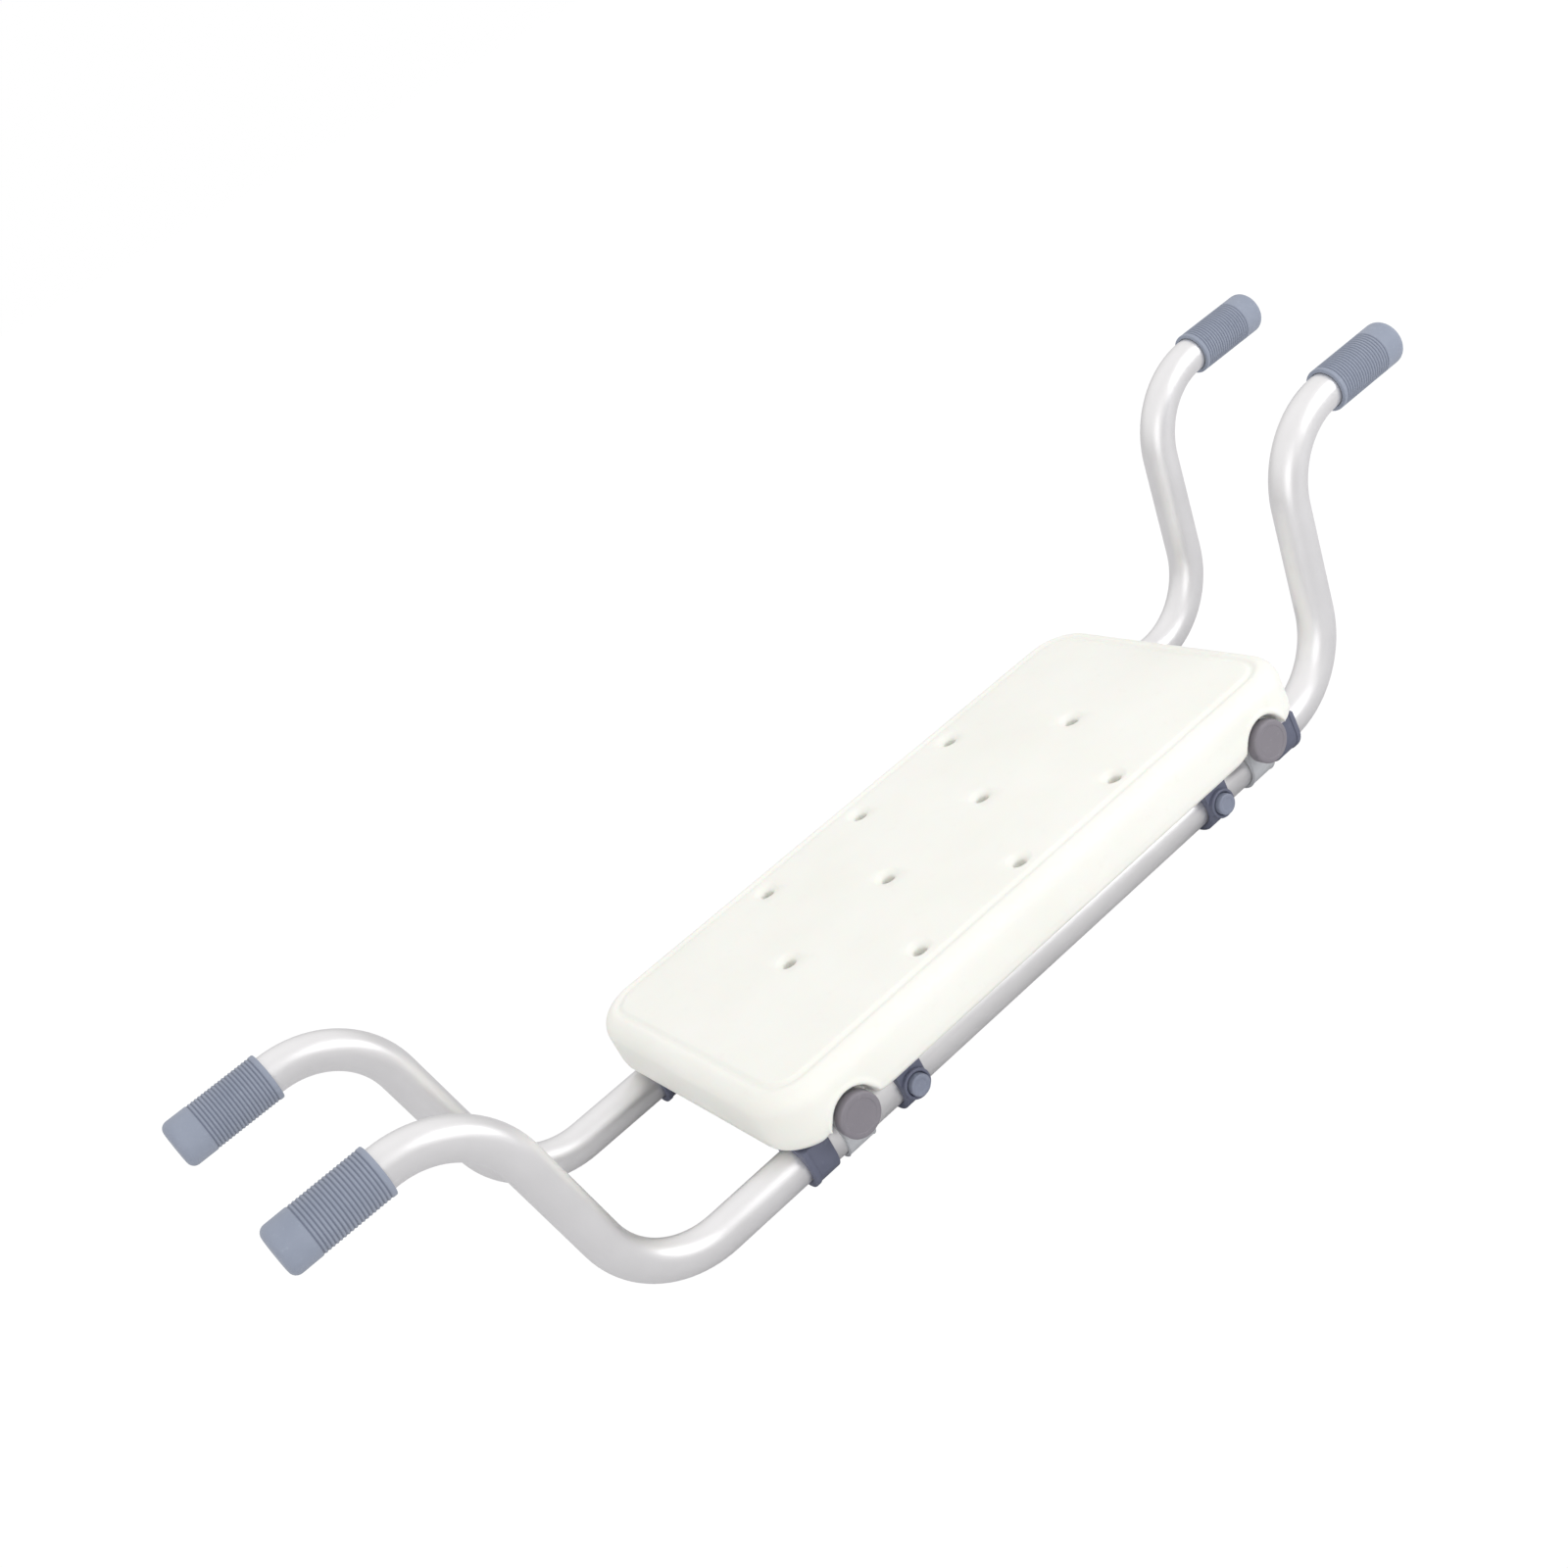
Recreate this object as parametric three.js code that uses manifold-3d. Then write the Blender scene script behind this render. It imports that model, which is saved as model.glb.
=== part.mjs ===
// Bath transfer bench: a moulded seat panel carried by two telescopic aluminium rails.
// Each rail takes a bent handle tube at both ends; the rubber grips of the handles hook over the rims
// of a bath. Millimetres. +X runs along the bench to the right, +Y to the rear, +Z up.
// The origin is on the ground, under the middle of the seat.

import * as THREE from 'three';
import { mergeVertices } from 'three/addons/utils/BufferGeometryUtils.js';
import Module from 'manifold-3d';

const wasm = await Module();
wasm.setup();

// ---- driving dimensions -------------------------------------------------------------------------

const GAP = 0.3; // free space between pieces that touch

// Rails: one straight tube under each long side of the seat.
const RAIL_RADIUS = 12.7;
const RAIL_WALL = 1.3;
const RAIL_HALF_LENGTH = 190;
const RAIL_Y = 77;
const RAIL_Z = 16.5;

// Handles: a smaller tube that slides in the rail, bent up in an S to a level grip.
const HANDLE_RADIUS = 11.1;
const HANDLE_WALL = 1.5;
const BEND_RADIUS = 54;
const BEND_ANGLE = THREE.MathUtils.degToRad(80.3);
const RISER_LENGTH = 63.5;
const BEND_START_X = 196.5; // where the lower bend starts with the handle pushed right in
const HANDLE_INNER_X = 30; // inner end of the handle tube, pushed right in
const GRIP_STRAIGHT = 53; // level tube past the upper bend

// Locking: holes in the handle tube, one pitch apart, pass under a button on the rail.
const LOCK_PITCH = 25;
const LOCK_HOLES = 4;
const LOCK_HOLE_RADIUS = 3.2;
const BUTTON_X = 123;

// How many pitches each handle is pulled out.
const EXTENSION_STEPS = { front_left: 2, front_right: 0, rear_left: 2, rear_right: 2 };

// Seat panel.
const SEAT_HALF_LENGTH = 203;
const SEAT_HALF_WIDTH = 102.5;
const SEAT_CORNER_RADIUS = 30;
const SEAT_EDGE_RADIUS = 12;
const SEAT_TOP_Z = 66;
const SEAT_BOTTOM_Z = RAIL_Z + RAIL_RADIUS + GAP;
const SEAT_WALL = 3.2;

// Drain holes: three staggered rows.
const DRAIN_PITCH_X = 77;
const DRAIN_PITCH_Y = 75;
const DRAIN_RADIUS = 4.2;
const DRAIN_DISH_RADIUS = 7.5;
const DRAIN_DISH_DEPTH = 3;
const VENT_RADIUS = 4;

// Seat fixing: a cross rod through the seat with a saddle over each rail and a round cap at each end.
const ROD_X = 162.5;
const ROD_Z = 33;
const ROD_RADIUS = 2;
const CAP_RADIUS = 12.6;
const CAP_FACE_Y = 106;
const CAP_THICKNESS = 7;
const NOTCH_RADIUS = 14.8;
const NOTCH_FLOOR_Y = 90;

// ---- materials ----------------------------------------------------------------------------------

function finish(color, roughness, metalness) {
  return new THREE.MeshStandardMaterial({ color, roughness, metalness });
}

const seatPlastic = finish(0xf3f3ee, 0.42, 0);
const aluminium = finish(0xd6d8dc, 0.32, 0.95);
const gripRubber = finish(0x8c99ab, 0.62, 0);
const slatePlastic = finish(0x69708a, 0.5, 0);
const capPlastic = finish(0x8c8890, 0.48, 0);
const buttonPlastic = finish(0x7d8aa0, 0.45, 0);
const springSteel = finish(0xb8babd, 0.3, 1);
const saddlePlastic = finish(0x8f949c, 0.55, 0);

// ---- solids: joining and cutting ----------------------------------------------------------------

/** A closed three.js geometry as a solid that can be joined and cut. */
function solid(geometry) {
  const bare = geometry.clone();
  for (const name of Object.keys(bare.attributes)) {
    if (name !== 'position') bare.deleteAttribute(name);
  }
  const merged = mergeVertices(bare, 1e-4);
  return new wasm.Manifold(new wasm.Mesh({
    numProp: 3,
    vertProperties: new Float32Array(merged.attributes.position.array),
    triVerts: new Uint32Array(merged.index.array),
  }));
}

/** A solid as a flat-shaded three.js geometry. */
function geometryOf(body) {
  const { vertProperties, triVerts } = body.getMesh();
  const indexed = new THREE.BufferGeometry();
  indexed.setAttribute('position', new THREE.BufferAttribute(vertProperties, 3));
  indexed.setIndex(new THREE.BufferAttribute(triVerts, 1));
  const flat = indexed.toNonIndexed();
  flat.computeVertexNormals();
  return flat;
}

const TURN_TO_AXIS = { x: [0, 0, -Math.PI / 2], y: [0, 0, 0], z: [Math.PI / 2, 0, 0] };

/** A round bar along x, y or z, centred on `centre`. */
function bar(radius, length, axis, centre = [0, 0, 0], sides = 24) {
  const geometry = new THREE.CylinderGeometry(radius, radius, length, sides);
  const [rx, ry, rz] = TURN_TO_AXIS[axis];
  geometry.rotateX(rx).rotateY(ry).rotateZ(rz).translate(...centre);
  return solid(geometry);
}

/** A block given by its lowest and highest corners. */
function block(low, high) {
  const size = high.map((value, i) => value - low[i]);
  const centre = high.map((value, i) => (value + low[i]) / 2);
  return solid(new THREE.BoxGeometry(...size).translate(...centre));
}

/** A round profile of [radius, height] points turned about the Y axis. */
function turned(profile, sides = 24) {
  const points = profile.map(([radius, height]) => new THREE.Vector2(radius, height));
  return solid(new THREE.LatheGeometry(points, sides));
}

function cutAll(body, tools) {
  return tools.reduce((rest, tool) => rest.subtract(tool), body);
}

// ---- the four corners ---------------------------------------------------------------------------

const CORNERS = [];
for (const [depth, ySign] of [['front', -1], ['rear', 1]]) {
  for (const [side, xSign] of [['left', -1], ['right', 1]]) {
    CORNERS.push({ name: `${depth}_${side}`, xSign, ySign });
  }
}

const bench = new THREE.Group();

/** Adds a named piece, built about its own origin, at a place and a turn about Z. */
function addPiece(name, body, material, position = [0, 0, 0], turnZ = 0) {
  const mesh = new THREE.Mesh(geometryOf(body), material);
  mesh.name = name;
  mesh.position.set(...position);
  mesh.rotation.z = turnZ;
  bench.add(mesh);
}

// ---- seat panel ---------------------------------------------------------------------------------

/** A slab with rounded plan corners and rounded upper and lower edges. */
function roundedSlab(halfLength, halfWidth, corner, edge, bottom, top, edgeSteps) {
  const x = halfLength - edge;
  const y = halfWidth - edge;
  const r = Math.max(corner - edge, 1);
  const outline = new THREE.Shape();
  outline.moveTo(x, r - y);
  outline.lineTo(x, y - r);
  outline.absarc(x - r, y - r, r, 0, Math.PI / 2);
  outline.absarc(r - x, y - r, r, Math.PI / 2, Math.PI);
  outline.absarc(r - x, r - y, r, Math.PI, 1.5 * Math.PI);
  outline.absarc(x - r, r - y, r, 1.5 * Math.PI, 2 * Math.PI);
  const geometry = new THREE.ExtrudeGeometry(outline, {
    depth: top - bottom - 2 * edge,
    bevelThickness: edge,
    bevelSize: edge,
    bevelSegments: edgeSteps,
    curveSegments: 3,
  });
  return solid(geometry.translate(0, 0, bottom + edge));
}

/** Centres of the drain holes: rows of three, four and three. */
function drainCentres() {
  const centres = [];
  for (const row of [-1, 0, 1]) {
    const count = row === 0 ? 4 : 3;
    for (let i = 0; i < count; i++) {
      centres.push([(i - (count - 1) / 2) * DRAIN_PITCH_X, row * DRAIN_PITCH_Y]);
    }
  }
  return centres;
}

const SADDLE_HALF_LENGTH = 9;
const SADDLE_HALF_WIDTH = 15;
const SADDLE_TOP_Z = 40;
const SADDLE_RING_RADIUS = 14.6;
const SADDLE_SLIT = 1.6;
const POCKET_CLEARANCE = 0.6;

/** The space under the seat that a saddle fills, grown by `extra` on every side. */
function saddlePocket(xSign, ySign, extra) {
  const grow = POCKET_CLEARANCE + extra;
  return block(
    [xSign * ROD_X - SADDLE_HALF_LENGTH - grow, ySign * RAIL_Y - SADDLE_HALF_WIDTH - grow, 0],
    [xSign * ROD_X + SADDLE_HALF_LENGTH + grow, ySign * RAIL_Y + SADDLE_HALF_WIDTH + grow,
      SADDLE_TOP_Z + grow],
  );
}

/** The round notch in the seat's side that a cap sits in. */
function capNotch(xSign, ySign, extra) {
  const depth = 2 * (SEAT_HALF_WIDTH - NOTCH_FLOOR_Y);
  const middle = ySign * (NOTCH_FLOOR_Y - extra + depth / 2);
  return bar(NOTCH_RADIUS + extra, depth, 'y', [xSign * ROD_X, middle, ROD_Z], 28);
}

function seatPanel() {
  const height = SEAT_TOP_Z - SEAT_BOTTOM_Z;
  const slab = roundedSlab(SEAT_HALF_LENGTH, SEAT_HALF_WIDTH, SEAT_CORNER_RADIUS, SEAT_EDGE_RADIUS,
    SEAT_BOTTOM_Z, SEAT_TOP_Z, 5);
  const innerEdge = SEAT_EDGE_RADIUS - SEAT_WALL;
  const inside = roundedSlab(SEAT_HALF_LENGTH - SEAT_WALL, SEAT_HALF_WIDTH - SEAT_WALL,
    SEAT_CORNER_RADIUS - SEAT_WALL, innerEdge, SEAT_BOTTOM_Z + SEAT_WALL, SEAT_TOP_Z - SEAT_WALL, 2);

  const posts = [];
  const holes = [];
  for (const [x, y] of drainCentres()) {
    const middle = SEAT_BOTTOM_Z + height / 2;
    posts.push(bar(DRAIN_DISH_RADIUS + SEAT_WALL, height, 'z', [x, y, middle], 8));
    holes.push(bar(DRAIN_RADIUS, height + 2, 'z', [x, y, middle], 14));
    const dish = new THREE.CylinderGeometry(
      DRAIN_DISH_RADIUS + 1, DRAIN_RADIUS, DRAIN_DISH_DEPTH + 1, 14);
    const dishMiddle = SEAT_TOP_Z + (1 - DRAIN_DISH_DEPTH) / 2;
    holes.push(solid(dish.rotateX(Math.PI / 2).translate(x, y, dishMiddle)));
  }

  const walls = [];
  const recesses = [];
  for (const { xSign, ySign } of CORNERS) {
    walls.push(saddlePocket(xSign, ySign, SEAT_WALL), capNotch(xSign, ySign, SEAT_WALL));
    recesses.push(saddlePocket(xSign, ySign, 0), capNotch(xSign, ySign, 0));
  }
  const hollow = cutAll(inside, [...posts, ...walls]);

  const tunnels = [-1, 1].map((xSign) =>
    bar(ROD_RADIUS + GAP, 2 * SEAT_HALF_WIDTH + 2, 'y', [xSign * ROD_X, 0, ROD_Z], 12));
  const vent = bar(VENT_RADIUS, 3 * SEAT_WALL, 'z',
    [DRAIN_PITCH_X / 2, DRAIN_PITCH_Y / 2, SEAT_BOTTOM_Z], 12);
  return cutAll(slab, [hollow, ...holes, ...recesses, ...tunnels, vent]);
}

addPiece('seat_panel', seatPanel(), seatPlastic);

// ---- rails --------------------------------------------------------------------------------------

const BUTTON_STEM_RADIUS = 2.4;
const STEM_CLEARANCE = 0.5;

function rail(ySign) {
  const length = 2 * RAIL_HALF_LENGTH;
  const tube = bar(RAIL_RADIUS, length, 'x').subtract(bar(RAIL_RADIUS - RAIL_WALL, length + 2, 'x'));
  const holes = [-1, 1].map((xSign) => bar(
    BUTTON_STEM_RADIUS + STEM_CLEARANCE, RAIL_RADIUS, 'y',
    [xSign * BUTTON_X, ySign * RAIL_RADIUS, 0], 12));
  return cutAll(tube, holes);
}

for (const [name, ySign] of [['rail_front', -1], ['rail_rear', 1]]) {
  addPiece(name, rail(ySign), aluminium, [0, ySign * RAIL_Y, RAIL_Z]);
}

// ---- collars on the rails -----------------------------------------------------------------------

const COLLAR_TOP_BELOW_RAIL = 0.1;

/** A sleeve section along X: round below the axis, straight up to a flat top. */
function collarBlock(radius, length) {
  const top = RAIL_RADIUS - COLLAR_TOP_BELOW_RAIL;
  const cornerCut = 1.2;
  const section = new THREE.Shape();
  section.moveTo(radius, 0);
  section.lineTo(radius, top - cornerCut);
  section.lineTo(radius - cornerCut, top);
  section.lineTo(cornerCut - radius, top);
  section.lineTo(-radius, top - cornerCut);
  section.lineTo(-radius, 0);
  section.absarc(0, 0, radius, Math.PI, 2 * Math.PI);
  const geometry = new THREE.ExtrudeGeometry(section, {
    depth: length, bevelEnabled: false, curveSegments: 7,
  });
  return solid(geometry.translate(0, 0, -length / 2).rotateX(Math.PI / 2).rotateZ(Math.PI / 2));
}

const END_COLLAR_RADIUS = 15;
const END_COLLAR_LENGTH = 17;
const END_COLLAR_LIP = 5.2; // the part beyond the rail's end, which closes down to the handle tube
const BUTTON_COLLAR_RADIUS = RAIL_Z;
const BUTTON_COLLAR_LENGTH = 17;
const BOSS_RADIUS = 8.6;
const BOSS_FACE = 19; // from the rail's axis
const BUTTON_RADIUS = 6.2;
const BUTTON_TRAVEL = 3;
const BUTTON_FACE = 22; // from the rail's axis
const BUTTON_FACE_THICKNESS = 1.6;
const BUTTON_WALL = 1.2;
const SPRING_RADIUS = 3.6;
const SPRING_WIRE_RADIUS = 0.4;
const SPRING_TURNS = 2.5;

function endCollar() {
  const outer = collarBlock(END_COLLAR_RADIUS, END_COLLAR_LENGTH);
  const bore = RAIL_RADIUS + GAP;
  const railPart = bar(bore, END_COLLAR_LENGTH, 'x', [-END_COLLAR_LIP - GAP, 0, 0]);
  // The flat top meets the bore, so the rail shows in a slot there; the lip stays whole.
  return cutAll(outer, [railPart, bar(HANDLE_RADIUS + GAP, 2 * END_COLLAR_LENGTH, 'x')]);
}

function buttonCollar() {
  const bossLength = BOSS_FACE - RAIL_RADIUS / 2;
  const boss = bar(BOSS_RADIUS, bossLength, 'y', [0, bossLength / 2 - BOSS_FACE, 0]);
  const body = collarBlock(BUTTON_COLLAR_RADIUS, BUTTON_COLLAR_LENGTH).add(boss);
  const pocket = bar(BUTTON_RADIUS + GAP, 2 * (BOSS_FACE - RAIL_RADIUS), 'y', [0, -BOSS_FACE, 0]);
  return cutAll(body, [bar(RAIL_RADIUS + GAP, 2 * BUTTON_COLLAR_LENGTH, 'x'), pocket]);
}

/** The button: a cup with a stem. Its face looks towards -Y. */
function pushButton() {
  const skirt = 4.5;
  const stemTip = RAIL_RADIUS - RAIL_WALL + 0.15;
  const rounding = 0.8;
  return turned([
    [0, -BUTTON_FACE],
    [BUTTON_RADIUS - rounding, -BUTTON_FACE],
    [BUTTON_RADIUS, rounding - BUTTON_FACE],
    [BUTTON_RADIUS, skirt - BUTTON_FACE],
    [BUTTON_RADIUS - BUTTON_WALL, skirt - BUTTON_FACE],
    [BUTTON_RADIUS - BUTTON_WALL, BUTTON_FACE_THICKNESS - BUTTON_FACE],
    [BUTTON_STEM_RADIUS, BUTTON_FACE_THICKNESS - BUTTON_FACE],
    [BUTTON_STEM_RADIUS, -stemTip],
    [0, -stemTip],
  ]);
}

class Helix extends THREE.Curve {
  constructor(radius, turns, start, end) {
    super();
    Object.assign(this, { radius, turns, start, end });
  }

  getPoint(t, target = new THREE.Vector3()) {
    const angle = 2 * Math.PI * this.turns * t;
    const along = this.start + (this.end - this.start) * t;
    return target.set(this.radius * Math.cos(angle), along, this.radius * Math.sin(angle));
  }
}

/** The coil spring under the button, at the length it has with the button pressed. */
function buttonSpring() {
  const startAt = RAIL_RADIUS + 0.5 + SPRING_WIRE_RADIUS;
  const pressedUnderside = BUTTON_FACE - BUTTON_TRAVEL - BUTTON_FACE_THICKNESS;
  const endAt = pressedUnderside - 0.4 - SPRING_WIRE_RADIUS;
  const path = new Helix(SPRING_RADIUS, SPRING_TURNS, -startAt, -endAt);
  const section = new THREE.Shape().absarc(0, 0, SPRING_WIRE_RADIUS, 0, 2 * Math.PI);
  return solid(new THREE.ExtrudeGeometry(section, { steps: 20, curveSegments: 3, extrudePath: path }));
}

for (const { name, xSign, ySign } of CORNERS) {
  const turnToSide = xSign > 0 ? 0 : Math.PI;
  const turnToFace = ySign < 0 ? 0 : Math.PI;
  const endX = xSign * (RAIL_HALF_LENGTH + END_COLLAR_LIP + GAP - END_COLLAR_LENGTH / 2);
  const atButton = [xSign * BUTTON_X, ySign * RAIL_Y, RAIL_Z];
  addPiece(`end_collar_${name}`, endCollar(), slatePlastic, [endX, ySign * RAIL_Y, RAIL_Z], turnToSide);
  addPiece(`button_collar_${name}`, buttonCollar(), slatePlastic, atButton, turnToFace);
  addPiece(`push_button_${name}`, pushButton(), buttonPlastic, atButton, turnToFace);
  addPiece(`button_spring_${name}`, buttonSpring(), springSteel, atButton, turnToFace);
}

// ---- handles ------------------------------------------------------------------------------------

const HANDLE_SIDES = 16;
const BEND_STEPS = 7;

/** The axis of a bent tube in the XZ plane, as points at the ends of its straights and along its bends. */
class TubeAxis extends THREE.Curve {
  constructor(start) {
    super();
    this.points = [];
    this.angles = [];
    this.x = start;
    this.z = 0;
    this.angle = 0;
    this.mark();
  }

  mark() {
    this.points.push(new THREE.Vector3(this.x, 0, this.z));
    this.angles.push(this.angle);
  }

  straight(length) {
    this.x += length * Math.cos(this.angle);
    this.z += length * Math.sin(this.angle);
    this.mark();
    return this;
  }

  bend(radius, turn) {
    const chord = 2 * radius * Math.sin(Math.abs(turn) / BEND_STEPS / 2);
    for (let i = 0; i < BEND_STEPS; i++) {
      const middle = this.angle + turn / BEND_STEPS / 2;
      this.x += chord * Math.cos(middle);
      this.z += chord * Math.sin(middle);
      this.angle += turn / BEND_STEPS;
      this.mark();
    }
    return this;
  }

  getPoint(t) {
    return this.points[Math.round(t * (this.points.length - 1))].clone();
  }

  getSpacedPoints() {
    return this.points;
  }

  computeFrenetFrames() {
    return {
      tangents: this.angles.map((a) => new THREE.Vector3(Math.cos(a), 0, Math.sin(a))),
      normals: this.angles.map((a) => new THREE.Vector3(-Math.sin(a), 0, Math.cos(a))),
      binormals: this.angles.map(() => new THREE.Vector3(0, -1, 0)),
    };
  }
}

function handleAxis() {
  return new TubeAxis(HANDLE_INNER_X)
    .straight(BEND_START_X - HANDLE_INNER_X)
    .bend(BEND_RADIUS, BEND_ANGLE)
    .straight(RISER_LENGTH)
    .bend(BEND_RADIUS, -BEND_ANGLE)
    .straight(GRIP_STRAIGHT);
}

/** A round hollow section swept along an axis. */
function sweptTube(axis, outerRadius, innerRadius) {
  const section = new THREE.Shape().absarc(0, 0, outerRadius, 0, 2 * Math.PI);
  section.holes.push(new THREE.Path().absarc(0, 0, innerRadius, 0, 2 * Math.PI, true));
  return solid(new THREE.ExtrudeGeometry(section, {
    steps: axis.points.length - 1, curveSegments: HANDLE_SIDES / 2, extrudePath: axis,
  }));
}

/** A handle tube that runs out to +X. Its lock holes are on the +Y or the -Y side. */
function handleTube(axis, holeSide) {
  const holes = [];
  for (let i = 0; i < LOCK_HOLES; i++) {
    const x = BUTTON_X - i * LOCK_PITCH;
    holes.push(bar(LOCK_HOLE_RADIUS, HANDLE_RADIUS, 'y', [x, holeSide * HANDLE_RADIUS, 0], 10));
  }
  return cutAll(sweptTube(axis, HANDLE_RADIUS, HANDLE_RADIUS - HANDLE_WALL), holes);
}

const GRIP_RADIUS = 13.7;
const GRIP_LENGTH = 57;
const GRIP_PAST_BEND = 1; // the grip's mouth is this far out on the level tube

/** A rubber cup pushed over the tube's end; it runs out to +X from its open end. */
function grip() {
  const bore = HANDLE_RADIUS + GAP;
  const edge = 3;
  const softened = 0.3 * edge;
  const mouthEdge = 0.6;
  const boreDepth = GRIP_STRAIGHT - GRIP_PAST_BEND + GAP;
  const cup = turned([
    [bore, 0],
    [GRIP_RADIUS - mouthEdge, 0],
    [GRIP_RADIUS, mouthEdge],
    [GRIP_RADIUS, GRIP_LENGTH - edge],
    [GRIP_RADIUS - softened, GRIP_LENGTH - softened],
    [GRIP_RADIUS - edge, GRIP_LENGTH],
    [0, GRIP_LENGTH],
    [0, boreDepth],
    [bore, boreDepth],
    [bore, 0],
  ], 20);
  return cup.rotate([0, 0, -90]);
}

/** A plastic bush in the handle tube's inner end that keeps it from rattling in the rail. */
function guideBush() {
  const flange = 3;
  const spigot = 8;
  const bore = 6;
  const spigotRadius = HANDLE_RADIUS - HANDLE_WALL - GAP;
  return turned([
    [bore, 0],
    [HANDLE_RADIUS, 0],
    [HANDLE_RADIUS, flange],
    [spigotRadius, flange],
    [spigotRadius, flange + spigot],
    [bore, flange + spigot],
    [bore, 0],
  ], 20).rotate([0, 0, -90]).translate([-flange - GAP, 0, 0]);
}

const axis = handleAxis();
const upperBendEnd = axis.points[axis.points.length - 2];

for (const { name, xSign, ySign } of CORNERS) {
  const pulledOut = EXTENSION_STEPS[name] * LOCK_PITCH;
  const turn = xSign > 0 ? 0 : Math.PI;
  const place = (x, z) => [xSign * (x + pulledOut), ySign * RAIL_Y, RAIL_Z + z];
  addPiece(`handle_tube_${name}`, handleTube(axis, xSign * ySign), aluminium, place(0, 0), turn);
  addPiece(`grip_${name}`, grip(), gripRubber,
    place(upperBendEnd.x + GRIP_PAST_BEND, upperBendEnd.z), turn);
  addPiece(`guide_bush_${name}`, guideBush(), slatePlastic, place(HANDLE_INNER_X, 0), turn);
}

// ---- seat fixing --------------------------------------------------------------------------------

/** A saddle: a ring round the rail under a block that the cross rod passes through. */
function saddle(ySign) {
  const length = 2 * SADDLE_HALF_LENGTH;
  const ring = bar(SADDLE_RING_RADIUS, length, 'x');
  const body = block(
    [-SADDLE_HALF_LENGTH, -SADDLE_HALF_WIDTH, 0],
    [SADDLE_HALF_LENGTH, SADDLE_HALF_WIDTH, SADDLE_TOP_Z - RAIL_Z],
  );
  // The ring is slit on the side towards the seat's middle, so that it springs over the rail.
  const slit = block(
    [-length, Math.min(0, -ySign * length), -SADDLE_SLIT / 2],
    [length, Math.max(0, -ySign * length), SADDLE_SLIT / 2],
  );
  return cutAll(ring.add(body), [
    bar(RAIL_RADIUS + GAP, 2 * length, 'x'),
    bar(ROD_RADIUS + GAP, 4 * SADDLE_HALF_WIDTH, 'y', [0, 0, ROD_Z - RAIL_Z], 12),
    slit,
  ]);
}

const SPACER_RADIUS = 9.5;
const CAP_INNER_Y = CAP_FACE_Y - CAP_THICKNESS;
const SPACER_INNER_Y = RAIL_Y + SADDLE_HALF_WIDTH + GAP;
const ROD_SOCKET_DEPTH = 4;

/** A round cap with a blind socket for the rod's end. Its face looks towards -Y. */
function roundCap() {
  const edge = 1.6;
  return turned([
    [0, -CAP_FACE_Y],
    [CAP_RADIUS - edge, -CAP_FACE_Y],
    [CAP_RADIUS, edge - CAP_FACE_Y],
    [CAP_RADIUS, -CAP_INNER_Y],
    [ROD_RADIUS + GAP, -CAP_INNER_Y],
    [ROD_RADIUS + GAP, -CAP_INNER_Y - ROD_SOCKET_DEPTH],
    [0, -CAP_INNER_Y - ROD_SOCKET_DEPTH],
  ], 28);
}

function capSpacer() {
  return turned([
    [ROD_RADIUS + GAP, GAP - CAP_INNER_Y],
    [SPACER_RADIUS, GAP - CAP_INNER_Y],
    [SPACER_RADIUS, -SPACER_INNER_Y],
    [ROD_RADIUS + GAP, -SPACER_INNER_Y],
    [ROD_RADIUS + GAP, GAP - CAP_INNER_Y],
  ]);
}

for (const [side, xSign] of [['left', -1], ['right', 1]]) {
  const halfLength = CAP_INNER_Y + ROD_SOCKET_DEPTH - GAP;
  addPiece(`cross_rod_${side}`, bar(ROD_RADIUS, 2 * halfLength, 'y', [0, 0, 0], 12), springSteel,
    [xSign * ROD_X, 0, ROD_Z]);
}

for (const { name, xSign, ySign } of CORNERS) {
  const turnToFace = ySign < 0 ? 0 : Math.PI;
  const onRod = [xSign * ROD_X, 0, ROD_Z];
  addPiece(`rail_saddle_${name}`, saddle(ySign), saddlePlastic, [xSign * ROD_X, ySign * RAIL_Y, RAIL_Z]);
  addPiece(`cap_spacer_${name}`, capSpacer(), saddlePlastic, onRod, turnToFace);
  addPiece(`round_cap_${name}`, roundCap(), capPlastic, onRod, turnToFace);
}

export default bench;
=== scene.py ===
from math import acos, cos, pi, radians, sin, tan, tau

import bmesh
import bpy
import numpy as np
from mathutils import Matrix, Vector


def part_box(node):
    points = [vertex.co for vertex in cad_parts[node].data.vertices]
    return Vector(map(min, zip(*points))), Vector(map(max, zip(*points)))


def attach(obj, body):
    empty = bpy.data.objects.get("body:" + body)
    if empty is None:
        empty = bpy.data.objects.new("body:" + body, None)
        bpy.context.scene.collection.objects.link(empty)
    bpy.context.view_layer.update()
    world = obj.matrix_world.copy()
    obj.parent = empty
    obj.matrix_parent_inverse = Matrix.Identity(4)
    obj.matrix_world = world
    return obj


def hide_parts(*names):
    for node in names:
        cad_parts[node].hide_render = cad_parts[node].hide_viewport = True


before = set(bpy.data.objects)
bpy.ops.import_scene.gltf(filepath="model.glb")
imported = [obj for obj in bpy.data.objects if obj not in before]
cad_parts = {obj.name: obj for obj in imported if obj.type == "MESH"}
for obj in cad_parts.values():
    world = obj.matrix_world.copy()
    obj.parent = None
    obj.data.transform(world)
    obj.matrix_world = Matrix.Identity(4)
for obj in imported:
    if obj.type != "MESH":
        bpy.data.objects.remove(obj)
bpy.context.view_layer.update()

import openvdb
from mathutils import Matrix, Vector

# ---- rails --------------------------------------------------------------------------------------
# Two straight lengths of drawn aluminium tube, an inch across and satin anodised. One lies along
# each long side of the seat, and its outer wall is drilled for the two lock buttons.

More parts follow.
